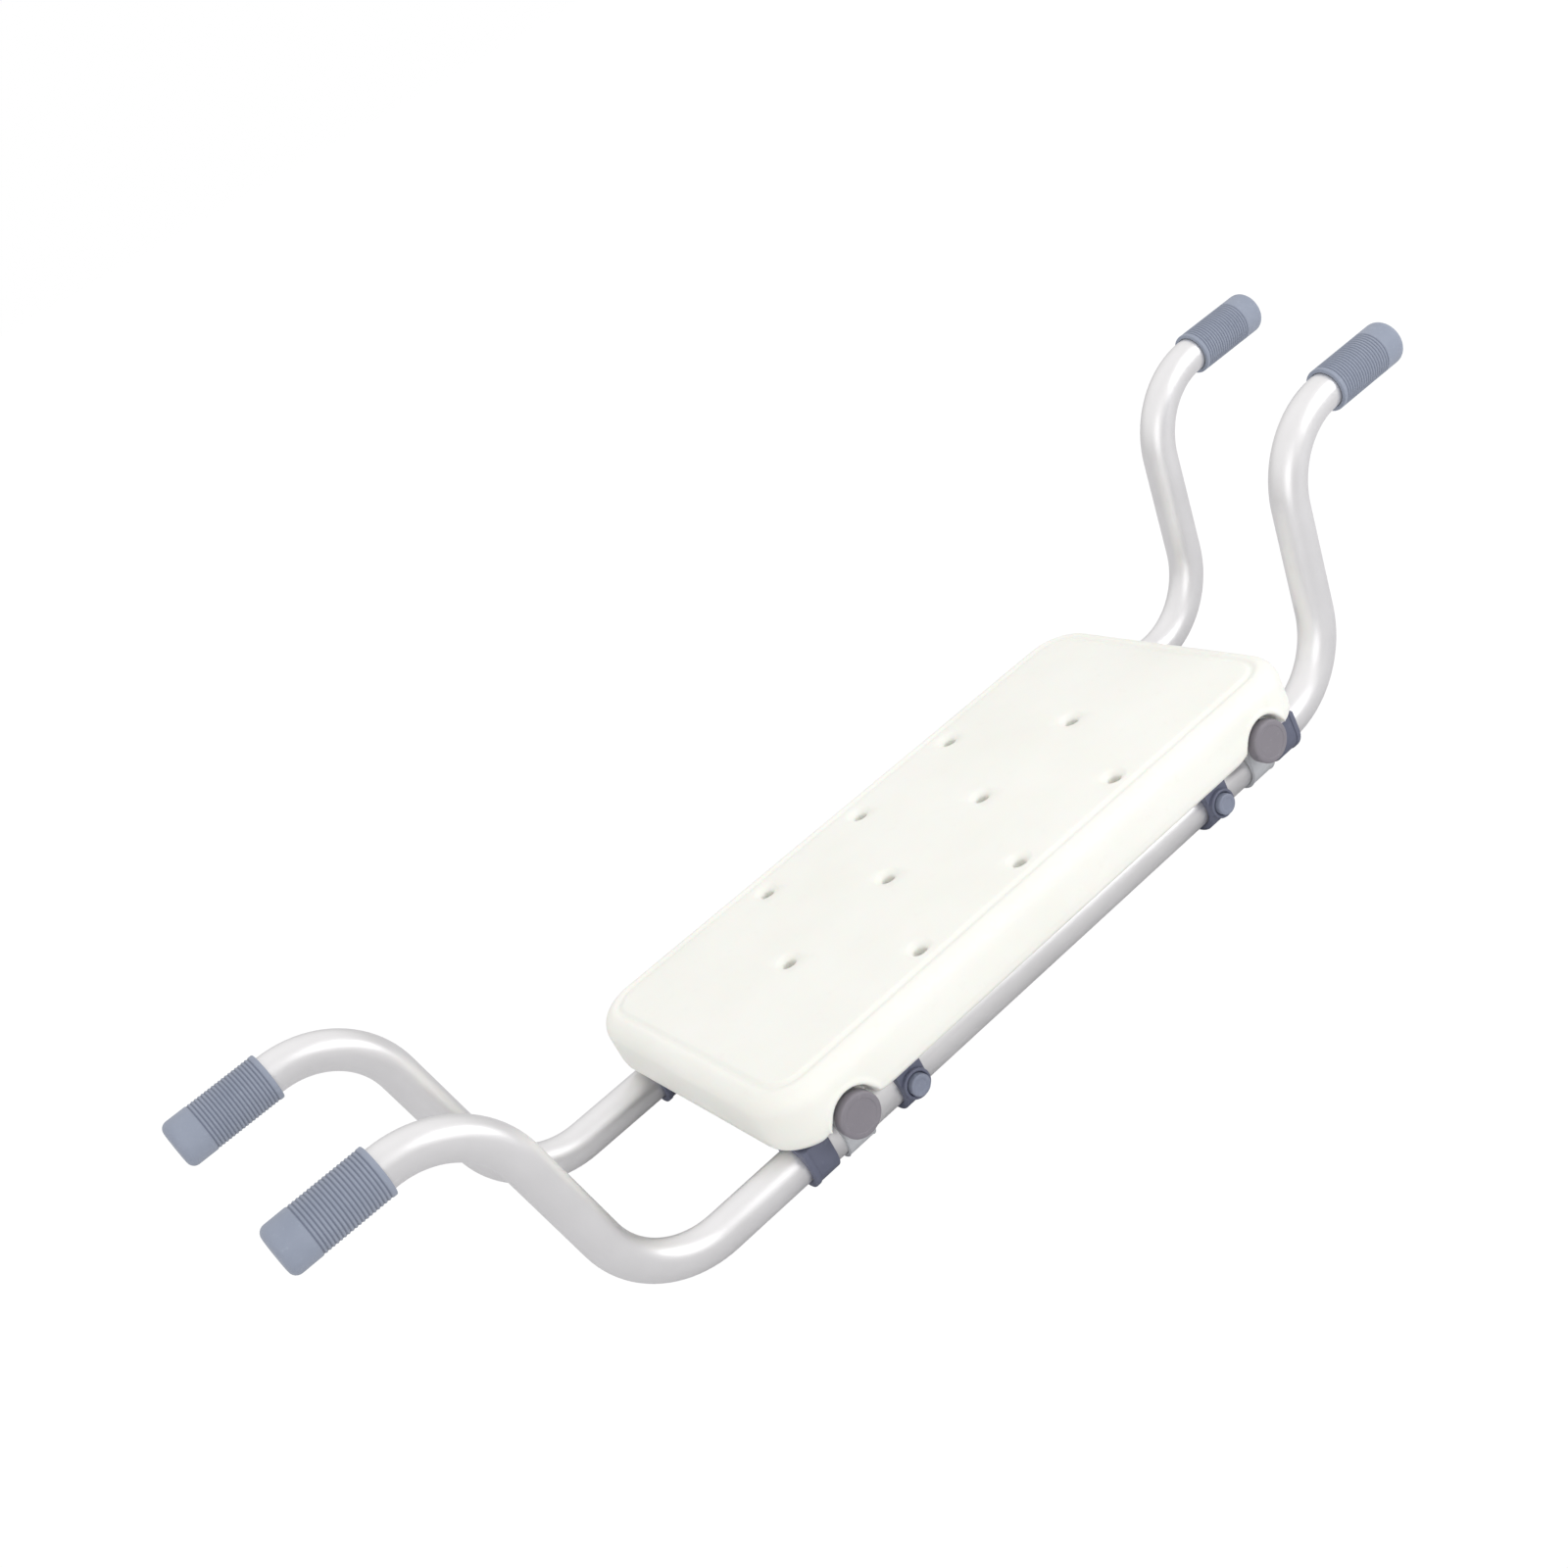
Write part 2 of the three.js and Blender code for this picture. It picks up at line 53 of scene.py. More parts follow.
MM = 0.001
CORNERS = {"front_left": (-1, -1), "front_right": (1, -1), "rear_left": (-1, 1), "rear_right": (1, 1)}

rail_low, rail_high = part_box("rail_front")
RAIL_RADIUS = (rail_high.z - rail_low.z) / 2
RAIL_Y = -(rail_low.y + rail_high.y) / 2
RAIL_Z = (rail_low.z + rail_high.z) / 2
RAIL_END = rail_high.x
RAIL_WALL = 1.3 * MM
button_low, button_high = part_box("button_collar_front_right")
BUTTON_X = (button_low.x + button_high.x) / 2
STEM_HOLE_RADIUS = 2.9 * MM
TUBE_RIM_ROUNDING = 0.35 * MM


def node(tree, kind, inputs=(), **settings):
    """A node in a tree, with its settings made and its inputs set or linked, by name or number."""
    made = tree.nodes.new(kind)
    for key, value in settings.items():
        setattr(made, key, value)
    for key, value in dict(inputs).items():
        if isinstance(value, bpy.types.NodeSocket):
            tree.links.new(value, made.inputs[key])
        else:
            made.inputs[key].default_value = value
    return made


def sums(tree, operation, first, second=0.0):
    """The result of one Math node."""
    return node(tree, "ShaderNodeMath", {0: first, 1: second}, operation=operation).outputs[0]


def shaping_tree(name, sizes):
    """A Geometry Nodes tree with named sizes, and what its inputs give inside it."""
    tree = bpy.data.node_groups.new(name, "GeometryNodeTree")
    tree.interface.new_socket("Geometry", in_out="INPUT", socket_type="NodeSocketGeometry")
    for label in sizes:
        tree.interface.new_socket(label, in_out="INPUT", socket_type="NodeSocketFloat")
    tree.interface.new_socket("Material", in_out="INPUT", socket_type="NodeSocketMaterial")
    tree.interface.new_socket("Geometry", in_out="OUTPUT", socket_type="NodeSocketGeometry")
    return tree, tree.nodes.new("NodeGroupInput").outputs


def end_tree(tree, geometry, size):
    """Ends a Geometry Nodes tree: real geometry, painted, given back."""
    real = node(tree, "GeometryNodeRealizeInstances", {"Geometry": geometry})
    painted = node(tree, "GeometryNodeSetMaterial", {"Geometry": real.outputs[0],
                                                     "Material": size["Material"]})
    node(tree, "NodeGroupOutput", {"Geometry": painted.outputs[0]})


bent_tube, size = shaping_tree("bent_tube", ["Bend Radius", "Bend Steps", "Tube Radius", "Sides"])
line = node(bent_tube, "GeometryNodeMeshToCurve", {"Mesh": size["Geometry"]})
bent = node(bent_tube, "GeometryNodeFilletCurve", {
    "Curve": line.outputs[0], "Count": size["Bend Steps"], "Radius": size["Bend Radius"]}, mode="POLY")
length_so_far = node(bent_tube, "GeometryNodeSplineParameter").outputs["Length"]
measured = node(bent_tube, "GeometryNodeStoreNamedAttribute", {
    "Geometry": bent.outputs[0], "Name": "along", "Value": length_so_far})
ring = node(bent_tube, "GeometryNodeCurvePrimitiveCircle", {
    "Resolution": size["Sides"], "Radius": size["Tube Radius"]})
in_section = node(bent_tube, "GeometryNodeInputPosition").outputs[0]
marked_ring = node(bent_tube, "GeometryNodeStoreNamedAttribute", {
    "Geometry": ring.outputs[0], "Name": "section", "Value": in_section}, data_type="FLOAT_VECTOR")
skin = node(bent_tube, "GeometryNodeCurveToMesh", {
    "Curve": measured.outputs[0], "Profile Curve": marked_ring.outputs[0]})
end_tree(bent_tube, skin.outputs[0], size)

drilled_row, size = shaping_tree("drilled_row", ["First Hole X", "Row Y", "Row Z", "Hole Count", "Pitch",
                                                 "Hole Radius", "Drill Length"])
first_hole = node(drilled_row, "ShaderNodeCombineXYZ", {
    "X": size["First Hole X"], "Y": size["Row Y"], "Z": size["Row Z"]})
hole_step = node(drilled_row, "ShaderNodeCombineXYZ", {"X": size["Pitch"]})
centres = node(drilled_row, "GeometryNodeMeshLine", {
    "Count": size["Hole Count"], "Start Location": first_hole.outputs[0],
    "Offset": hole_step.outputs[0]})
drill = node(drilled_row, "GeometryNodeMeshCylinder", {
    "Vertices": 32, "Radius": size["Hole Radius"], "Depth": size["Drill Length"]})
drills = node(drilled_row, "GeometryNodeInstanceOnPoints", {
    "Points": centres.outputs[0], "Instance": drill.outputs[0], "Rotation": (pi / 2, 0, 0)})
drills = node(drilled_row, "GeometryNodeRealizeInstances", {"Geometry": drills.outputs[0]})
drilled = node(drilled_row, "GeometryNodeMeshBoolean", {
    "Mesh 1": size["Geometry"], "Mesh 2": drills.outputs[0]}, operation="DIFFERENCE", solver="EXACT")
end_tree(drilled_row, drilled.outputs[0], size)


def shape_with(obj, tree, **sizes):
    """Gives an object a Geometry Nodes modifier with its sizes set by socket identifier."""
    modifier = obj.modifiers.new(tree.name, "NODES")
    modifier.node_group = tree
    for item in tree.interface.items_tree:
        key = item.name.replace(" ", "_")
        if item.in_out == "INPUT" and key in sizes:
            modifier[item.identifier] = sizes[key]


def blank(name, points, edges=(), faces=()):
    """An object with a bare mesh, for modifiers to work on."""
    mesh = bpy.data.meshes.new(name)
    mesh.from_pydata([tuple(p) for p in points], edges, faces)
    obj = bpy.data.objects.new(name, mesh)
    bpy.context.scene.collection.objects.link(obj)
    return obj


def outward(mesh):
    """Merges doubles and turns every face of a closed mesh outwards."""
    work = bmesh.new()
    work.from_mesh(mesh)
    bmesh.ops.remove_doubles(work, verts=work.verts, dist=1e-7)
    bmesh.ops.recalc_face_normals(work, faces=work.faces)
    work.to_mesh(mesh)
    work.free()


def plain_mesh(obj, crease=35):
    """What an object's modifiers make of it as a plain mesh, smooth except over creases."""
    depsgraph = bpy.context.evaluated_depsgraph_get()
    mesh = bpy.data.meshes.new_from_object(
        obj.evaluated_get(depsgraph), preserve_all_data_layers=True, depsgraph=depsgraph)
    bpy.data.objects.remove(obj)
    outward(mesh)
    mesh.shade_smooth()
    mesh.set_sharp_from_angle(angle=radians(crease))
    return mesh


def fit(name, mesh, material, body, slot, *stands_for):
    """A finished piece: its mesh, its finish, the body it rides on and the CAD nodes it stands for."""
    mesh.materials.clear()
    mesh.materials.append(material)
    obj = bpy.data.objects.new(name, mesh)
    bpy.context.scene.collection.objects.link(obj)
    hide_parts(*stands_for)
    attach(obj, body)
    return obj


def placed(mesh, x_sign=1, y_sign=1, shift=(0, 0, 0)):
    """A copy of a mesh, mirrored as the signs say and then moved."""
    copy = mesh.copy()
    copy.transform(Matrix.Translation(shift) @ Matrix.Diagonal((x_sign, y_sign, 1, 1)))
    if x_sign * y_sign < 0:
        copy.flip_normals()
    return copy


def tone(red, green, blue):
    """A paint-chart colour from 0 to 255 as a shader colour."""
    linear = [(c / 255 / 12.92) if c < 11 else ((c / 255 + 0.055) / 1.055) ** 2.4
              for c in (red, green, blue)]
    return (*linear, 1.0)


def effect_group(name, inputs, outputs):
    """A shader node group with named inputs and outputs."""
    tree = bpy.data.node_groups.new(name, "ShaderNodeTree")
    for label, start in inputs.items():
        kind = "NodeSocketVector" if start is None else "NodeSocketFloat"
        socket = tree.interface.new_socket(label, in_out="INPUT", socket_type=kind)
        if start is not None:
            socket.default_value = start
    for label in outputs:
        tree.interface.new_socket(label, in_out="OUTPUT", socket_type="NodeSocketFloat")
    return tree, tree.nodes.new("NodeGroupInput").outputs, tree.nodes.new("NodeGroupOutput")


# Cloudiness: a slow drift of tone and gloss over the surface.
cloudiness, given, gives = effect_group(
    "cloudiness", {"Place": None, "Scale": 20.0, "Contrast": 1.0}, ["Cloud"])
drift = node(cloudiness, "ShaderNodeTexNoise", {
    "Vector": given["Place"], "Scale": given["Scale"], "Detail": 3.0, "Roughness": 0.55})
centred = sums(cloudiness, "SUBTRACT", drift.outputs[0], 0.5)
spread = sums(cloudiness, "MULTIPLY", centred, given["Contrast"])
cloud = node(cloudiness, "ShaderNodeMath", {0: spread, 1: 0.5}, operation="ADD", use_clamp=True)
cloudiness.links.new(cloud.outputs[0], gives.inputs["Cloud"])

# Fine grain: the close, even texture of a mould or of an etched surface.
fine_grain, given, gives = effect_group("fine_grain", {"Place": None, "Grain Size": 0.8}, ["Height"])
frequency = sums(fine_grain, "DIVIDE", 1000.0, given["Grain Size"])
grain = node(fine_grain, "ShaderNodeTexNoise", {
    "Vector": given["Place"], "Scale": frequency, "Detail": 2.0, "Roughness": 0.6})
fine_grain.links.new(grain.outputs[0], gives.inputs["Height"])

# Handling marks: sparse, soft-edged rubbed patches.
handling_marks, given, gives = effect_group(
    "handling_marks", {"Place": None, "Scale": 60.0, "Amount": 0.5}, ["Mark"])
patches = node(handling_marks, "ShaderNodeTexNoise", {
    "Vector": given["Place"], "Scale": given["Scale"], "Detail": 6.0, "Roughness": 0.7})
threshold = node(handling_marks, "ShaderNodeMapRange", {
    "Value": patches.outputs[0], "From Min": 0.56, "From Max": 0.74}, interpolation_type="SMOOTHSTEP")
mark = sums(handling_marks, "MULTIPLY", threshold.outputs[0], given["Amount"])
handling_marks.links.new(mark, gives.inputs["Mark"])


def new_material(name, **uniform):
    """A material with its shader's uniform values set, and its tree and shader."""
    material = bpy.data.materials.new(name)
    material.use_nodes = True
    tree = material.node_tree
    shader = tree.nodes["Principled BSDF"]
    for label, value in uniform.items():
        shader.inputs[label.replace("_", " ")].default_value = value
    return material, tree, shader


def place_effect(tree, effect, inputs):
    """A shared effect put in a material's tree."""
    return node(tree, "ShaderNodeGroup", inputs, node_tree=effect)


def blended(tree, amount, first, second):
    """A colour between two others."""
    mix = tree.nodes.new("ShaderNodeMix")
    mix.data_type = "RGBA"
    colour_inputs = [s for s in mix.inputs if s.type == "RGBA"]
    tree.links.new(amount, mix.inputs[0])
    for socket, value in zip(colour_inputs, (first, second)):
        if isinstance(value, bpy.types.NodeSocket):
            tree.links.new(value, socket)
        else:
            socket.default_value = value
    return [s for s in mix.outputs if s.type == "RGBA"][0]


def ranged(tree, value, low, high):
    """A value from 0 to 1 stretched to run from low to high."""
    return node(tree, "ShaderNodeMapRange", {"Value": value, "To Min": low, "To Max": high}).outputs[0]


# Satin anodised tube: die lines run along it and a fine etched grain lies over them.
aluminium, tree, shader = new_material("satin_anodised_aluminium", Metallic=0.82, IOR=1.5)
along = node(tree, "ShaderNodeAttribute", attribute_name="along").outputs["Fac"]
section = node(tree, "ShaderNodeAttribute", attribute_name="section").outputs["Vector"]
across = node(tree, "ShaderNodeSeparateXYZ", {0: section})
stretched = sums(tree, "MULTIPLY", along, 0.035)
drawn = node(tree, "ShaderNodeCombineXYZ", {
    "X": across.outputs[0], "Y": across.outputs[1], "Z": stretched}).outputs[0]
die_lines = place_effect(tree, fine_grain, {"Place": drawn, "Grain Size": 0.9}).outputs[0]
here = node(tree, "ShaderNodeTexCoord").outputs["Object"]
etched = place_effect(tree, fine_grain, {"Place": here, "Grain Size": 0.45}).outputs[0]
clouds = place_effect(tree, cloudiness, {"Place": here, "Scale": 28.0, "Contrast": 1.6}).outputs[0]
rubbed = place_effect(tree, handling_marks, {"Place": drawn, "Scale": 140.0, "Amount": 0.6}).outputs[0]
texture = sums(tree, "ADD", sums(tree, "MULTIPLY", die_lines, 0.6), sums(tree, "MULTIPLY", etched, 0.4))
tree.links.new(blended(tree, clouds, tone(232, 231, 232), tone(241, 240, 241)), shader.inputs["Base Color"])
gloss = sums(tree, "SUBTRACT", ranged(tree, clouds, 0.33, 0.41), sums(tree, "MULTIPLY", rubbed, 0.08))
tree.links.new(gloss, shader.inputs["Roughness"])
bump = node(tree, "ShaderNodeBump", {"Height": texture, "Strength": 0.22, "Distance": 0.00012})
tree.links.new(bump.outputs[0], shader.inputs["Normal"])


def tube_mesh(name, corners, radius, wall, holes, bend_radius=0.0):
    """A round tube along a line of points, with rounded rims and a row of drilled holes."""
    path = blank(name, corners, [(i, i + 1) for i in range(len(corners) - 1)])
    shape_with(path, bent_tube, Bend_Radius=bend_radius, Bend_Steps=22.0, Tube_Radius=radius, Sides=72.0)
    skin = plain_mesh(path)
    tube = bpy.data.objects.new(name, skin)
    bpy.context.scene.collection.objects.link(tube)
    middle = sum((p.co for p in skin.vertices), Vector()) / len(skin.vertices)
    facing = sum(p.normal.dot(p.center - middle) * p.area for p in skin.polygons)
    thick = tube.modifiers.new("wall", "SOLIDIFY")
    thick.thickness = wall
    thick.offset = -1.0 if facing > 0 else 1.0
    rims = tube.modifiers.new("rims", "BEVEL")
    rims.width = TUBE_RIM_ROUNDING
    rims.segments = 2
    rims.limit_method = "ANGLE"
    rims.angle_limit = radians(50)
    shape_with(tube, drilled_row, Row_Z=RAIL_Z, **holes)
    return plain_mesh(tube)


for name, y_sign in (("rail_front", -1), ("rail_rear", 1)):
    ends = [(-RAIL_END, y_sign * RAIL_Y, RAIL_Z), (RAIL_END, y_sign * RAIL_Y, RAIL_Z)]
    mesh = tube_mesh(name, ends, RAIL_RADIUS, RAIL_WALL, {
        "First_Hole_X": -BUTTON_X, "Row_Y": y_sign * (RAIL_Y + RAIL_RADIUS), "Hole_Count": 2.0,
        "Pitch": 2 * BUTTON_X, "Hole_Radius": STEM_HOLE_RADIUS, "Drill_Length": RAIL_RADIUS})
    fit(f"drawn_{name}", mesh, aluminium, "frame", "aluminium", name)

# ---- handle tubes -------------------------------------------------------------------------------
# Four lengths of aluminium tube that slide in the rails' ends. Each is bent up on a mandrel in an
# S and ends level for its grip; holes a pitch apart in its straight part take the button's stem.

HANDLE_RADIUS = 11.1 * MM
HANDLE_WALL = 1.5 * MM
BEND_RADIUS = 54 * MM
BEND_ANGLE = radians(80.3)
RISER_LENGTH = 63.5 * MM
STRAIGHT_TO_BEND = 166.5 * MM
GRIP_STRAIGHT = 53 * MM
LOCK_PITCH = 25 * MM
LOCK_HOLES = 4
LOCK_HOLE_RADIUS = 3.2 * MM


def handle_corners(inner_end):
    """The corners of the handle's centre line before its bends are rounded, running out to +X."""
    reach = BEND_RADIUS * tan(BEND_ANGLE / 2)
    lower = Vector((inner_end + STRAIGHT_TO_BEND + reach, -RAIL_Y, RAIL_Z))
    slope = Vector((cos(BEND_ANGLE), 0, sin(BEND_ANGLE)))
    upper = lower + slope * (RISER_LENGTH + 2 * reach)
    return [Vector((inner_end, -RAIL_Y, RAIL_Z)), lower, upper,
            upper + Vector((reach + GRIP_STRAIGHT, 0, 0))]


def reach_of(node_name):
    """How far from the middle of the bench a CAD node starts, and where it ends."""
    low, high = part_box(node_name)
    return min(abs(low.x), abs(high.x)), max(abs(low.x), abs(high.x))


pushed_in = reach_of("handle_tube_front_right")[0]
handle_mesh = tube_mesh("handle_tube", handle_corners(pushed_in), HANDLE_RADIUS, HANDLE_WALL, {
    "First_Hole_X": BUTTON_X, "Row_Y": -RAIL_Y - HANDLE_RADIUS, "Hole_Count": float(LOCK_HOLES),
    "Pitch": -LOCK_PITCH, "Hole_Radius": LOCK_HOLE_RADIUS, "Drill_Length": HANDLE_RADIUS}, BEND_RADIUS)
for corner, (x_sign, y_sign) in CORNERS.items():
    out = reach_of(f"handle_tube_{corner}")[0] - pushed_in
    mesh = placed(handle_mesh, x_sign, -y_sign, (x_sign * out, 0, 0))
    fit(f"bent_handle_{corner}", mesh, aluminium, f"handle_{corner}", "aluminium",
        f"handle_tube_{corner}")

# ---- grips --------------------------------------------------------------------------------------
# Soft rubber cups pushed over the handles' ends, so that they hold on the rim of the bath. Each is
# moulded with close rings round it, and has a plain rounded nose and a thin lip at its mouth.

GRIP_RADIUS = 13.7 * MM
GRIP_LENGTH = 57 * MM
GRIP_BORE = HANDLE_RADIUS + 0.3 * MM
GRIP_FLOOR = 52.3 * MM
RIB_PITCH = 2.05 * MM
RIB_DEPTH = 0.5 * MM
FIRST_RIB = 2.4 * MM
RIB_COUNT = 19


def rounded(corners, closed=False, steps=5):
    """A flat outline whose corners, given as (x, y, radius), are rounded with arcs."""
    outline = []
    count = len(corners)
    for i, (x, y, radius) in enumerate(corners):
        here = Vector((x, y))
        if radius == 0 or (not closed and i in (0, count - 1)):
            outline.append(here)
            continue
        back = (Vector(corners[i - 1][:2]) - here).normalized()
        on = (Vector(corners[(i + 1) % count][:2]) - here).normalized()
        half = acos(max(-1, min(1, back.dot(on)))) / 2
        centre = here + (back + on).normalized() * radius / sin(half)
        first = here + back * radius / tan(half) - centre
        last = here + on * radius / tan(half) - centre
        turn = pi - 2 * half
        for k in range(steps + 1):
            a = turn * k / steps
            outline.append(centre + (first * sin(turn - a) + last * sin(a)) / sin(turn))
    return outline


def split_long(outline, longest):
    """An outline with points added so that no part is longer than this."""
    dense = []
    for a, b in zip(outline, outline[1:]):
        parts = max(1, int(np.ceil((b - a).length / longest)))
        dense += [a.lerp(b, k / parts) for k in range(parts)]
    return dense + [outline[-1]]


def turned(name, profile, sides=72):
    """A shape turned about the X axis from (x, radius) points. A radius of 0 closes it at a pole."""
    points, rows, faces = [], [], []
    for x, radius in profile:
        count = 1 if radius < 1e-9 else sides
        rows.append([len(points) + k for k in range(count)])
        points += [(x, radius * cos(tau * k / sides), radius * sin(tau * k / sides)) for k in range(count)]
    closed = len(rows[0]) > 1 and len(rows[-1]) > 1
    for here, there in zip(rows, rows[1:] + ([rows[0]] if closed else [])):
        for k in range(sides):
            quad = [here[k % len(here)], here[(k + 1) % len(here)],
                    there[(k + 1) % len(there)], there[k % len(there)]]
            face = [v for i, v in enumerate(quad) if v != quad[i - 1]]
            if len(face) > 2:
                faces.append(face)
    return blank(name, points, faces=faces)


rings, size = shaping_tree("moulded_rings", ["Ring Pitch", "Ring Depth", "First Ring", "Last Ring",
                                             "Least Radius"])
spot = node(rings, "GeometryNodeInputPosition").outputs[0]
spot_parts = node(rings, "ShaderNodeSeparateXYZ", {0: spot}).outputs
away = node(rings, "ShaderNodeCombineXYZ", {"Y": spot_parts["Y"], "Z": spot_parts["Z"]}).outputs[0]
distance = node(rings, "ShaderNodeVectorMath", {0: away}, operation="LENGTH").outputs["Value"]
direction = node(rings, "ShaderNodeVectorMath", {0: away}, operation="NORMALIZE").outputs[0]
from_first = sums(rings, "SUBTRACT", spot_parts["X"], size["First Ring"])
phase = sums(rings, "MULTIPLY", sums(rings, "DIVIDE", from_first, size["Ring Pitch"]), tau)
wave = sums(rings, "MULTIPLY", sums(rings, "SUBTRACT", sums(rings, "COSINE", phase), 1.0), 0.5)
after = sums(rings, "GREATER_THAN", spot_parts["X"], size["First Ring"])
before = sums(rings, "LESS_THAN", spot_parts["X"], size["Last Ring"])
outside = sums(rings, "GREATER_THAN", distance, size["Least Radius"])
where = sums(rings, "MULTIPLY", sums(rings, "MULTIPLY", after, before), outside)
sunk = sums(rings, "MULTIPLY", sums(rings, "MULTIPLY", wave, size["Ring Depth"]), where)
offset = node(rings, "ShaderNodeVectorMath", {0: direction, "Scale": sunk}, operation="SCALE")
# How deep each point lies in a ring groove, kept for the painted shade in the rubber's grooves.
groove_shade_depth = sums(rings, "MULTIPLY", sums(rings, "MULTIPLY", wave, -1.0), where)
marked = node(rings, "GeometryNodeStoreNamedAttribute", {
    "Geometry": size["Geometry"], "Name": "groove", "Value": groove_shade_depth})
ringed = node(rings, "GeometryNodeSetPosition", {"Geometry": marked.outputs[0],
                                                 "Offset": offset.outputs[0]})
end_tree(rings, ringed.outputs[0], size)

grip_profile = rounded([
    (GRIP_FLOOR, 0, 0), (GRIP_FLOOR, GRIP_BORE, 0.8 * MM), (0, GRIP_BORE, 0.3 * MM),
    (0, GRIP_RADIUS, 0.7 * MM), (GRIP_LENGTH, GRIP_RADIUS, 4.4 * MM), (GRIP_LENGTH, 0, 0)], steps=6)
grip = turned("grip", split_long(grip_profile, RIB_PITCH / 6))
shape_with(grip, rings, Ring_Pitch=RIB_PITCH, Ring_Depth=RIB_DEPTH, First_Ring=FIRST_RIB,
           Last_Ring=FIRST_RIB + RIB_COUNT * RIB_PITCH, Least_Radius=GRIP_BORE + 0.5 * MM)
grip_mesh = plain_mesh(grip)

# Matt rubber: soft sheen, painted shade darkening the grooves, paler where hands and the bath rub the rings.
rubber, tree, shader = new_material("matt_grip_rubber", Sheen_Weight=0.12, Sheen_Roughness=0.5)
shader.inputs["Specular IOR Level"].default_value = 0.32
here = node(tree, "ShaderNodeTexCoord").outputs["Object"]
clouds = place_effect(tree, cloudiness, {"Place": here, "Scale": 45.0, "Contrast": 1.7}).outputs[0]
grain = place_effect(tree, fine_grain, {"Place": here, "Grain Size": 0.35}).outputs[0]
rubbed = place_effect(tree, handling_marks, {"Place": here, "Scale": 220.0, "Amount": 0.35}).outputs[0]
body_tone = blended(tree, clouds, tone(137, 145, 162), tone(150, 157, 173))
worn_tone = blended(tree, rubbed, body_tone, tone(168, 176, 190))
# Painted shade: the colour darkens towards the bottom of each ring groove.
groove = node(tree, "ShaderNodeAttribute", attribute_name="groove").outputs["Fac"]
painted_groove_shade = ranged(tree, groove, -0.35, 0.9)
tree.links.new(blended(tree, painted_groove_shade, worn_tone, tone(100, 107, 125)), shader.inputs["Base Color"])
tree.links.new(ranged(tree, clouds, 0.55, 0.68), shader.inputs["Roughness"])
bump = node(tree, "ShaderNodeBump", {"Height": grain, "Strength": 0.3, "Distance": 0.0001})
tree.links.new(bump.outputs[0], shader.inputs["Normal"])

for corner, (x_sign, y_sign) in CORNERS.items():
    low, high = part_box(f"grip_{corner}")
    mouth = reach_of(f"grip_{corner}")[0]
    mesh = placed(grip_mesh, x_sign, 1, (x_sign * mouth, (low.y + high.y) / 2, (low.z + high.z) / 2))
    fit(f"ribbed_grip_{corner}", mesh, rubber, f"handle_{corner}", "grip_rubber", f"grip_{corner}")

# ---- end collars --------------------------------------------------------------------------------
# Slate-grey plastic sleeves pushed on the rails' ends, where they close the step down to the
# handle tube. Their flat tops lie under the seat; a raised band stiffens the open end.

COLLAR_TOP = 12.6 * MM
END_COLLAR_RADIUS = 15 * MM
END_COLLAR_LENGTH = 17 * MM
COLLAR_BORE = RAIL_RADIUS + 0.3 * MM
LIP_BORE = HANDLE_RADIUS + 0.3 * MM
LIP_LENGTH = 5.2 * MM


def collar_outline(radius, top):
    """A sleeve's section: round below, straight sides and a flat top with small round corners."""
    sweep = [Vector((-radius * cos(pi * k / 32), -radius * sin(pi * k / 32))) for k in range(33)]
    corner = 1.0 * MM
    upper = rounded([(radius, 0, 0), (radius, top, corner), (-radius, top, corner), (-radius, 0, 0)],
                    steps=4)
    return sweep + upper[1:-1]


def sleeve(name, stations, bore):
    """A collar body lofted along X from (x, radius, top) stations, with (x, radius) for its bore."""
    points, rows = [], []
    for x, radius, top in stations:
        rows.append([len(points) + k for k in range(len(collar_outline(radius, top)))])
        points += [(x, p.x, p.y) for p in collar_outline(radius, top)]
    guide = [p.normalized() for p in collar_outline(END_COLLAR_RADIUS, COLLAR_TOP)]
    for x, radius in bore:
        rows.append([len(points) + k for k in range(len(guide))])
        points += [(x, p.x * radius, p.y * radius) for p in guide]
    faces = []
    for here, there in zip(rows, rows[1:] + [rows[0]]):
        for k in range(len(here)):
            n = (k + 1) % len(here)
            faces.append([here[k], here[n], there[n], there[k]])
    return blank(name, points, faces=faces)


def banded(start, end, radius, top, rim):
    """Stations for a plain stretch whose two edges are rounded off by rim."""
    return [(start, radius - rim, top - rim), (start + 0.3 * rim, radius - 0.3 * rim, top - 0.3 * rim),
            (start + rim, radius, top), (end - rim, radius, top),
            (end - 0.3 * rim, radius - 0.3 * rim, top - 0.3 * rim), (end, radius - rim, top - rim)]


COLLAR_RIM = 0.45 * MM
band_start = END_COLLAR_LENGTH / 2 - 3.4 * MM
slim = END_COLLAR_RADIUS - 0.55 * MM
end_collar = sleeve("end_collar", [
    *banded(-END_COLLAR_LENGTH / 2, band_start, slim, COLLAR_TOP, COLLAR_RIM)[:4],
    (band_start, slim, COLLAR_TOP),
    *banded(band_start, END_COLLAR_LENGTH / 2, END_COLLAR_RADIUS, COLLAR_TOP, COLLAR_RIM)[1:],
], [
    (END_COLLAR_LENGTH / 2, LIP_BORE + COLLAR_RIM), (END_COLLAR_LENGTH / 2 - COLLAR_RIM, LIP_BORE),
    (END_COLLAR_LENGTH / 2 - LIP_LENGTH, LIP_BORE), (END_COLLAR_LENGTH / 2 - LIP_LENGTH, COLLAR_BORE),
    (-END_COLLAR_LENGTH / 2 + COLLAR_RIM, COLLAR_BORE), (-END_COLLAR_LENGTH / 2, COLLAR_BORE + COLLAR_RIM)])
end_collar_mesh = plain_mesh(end_collar)


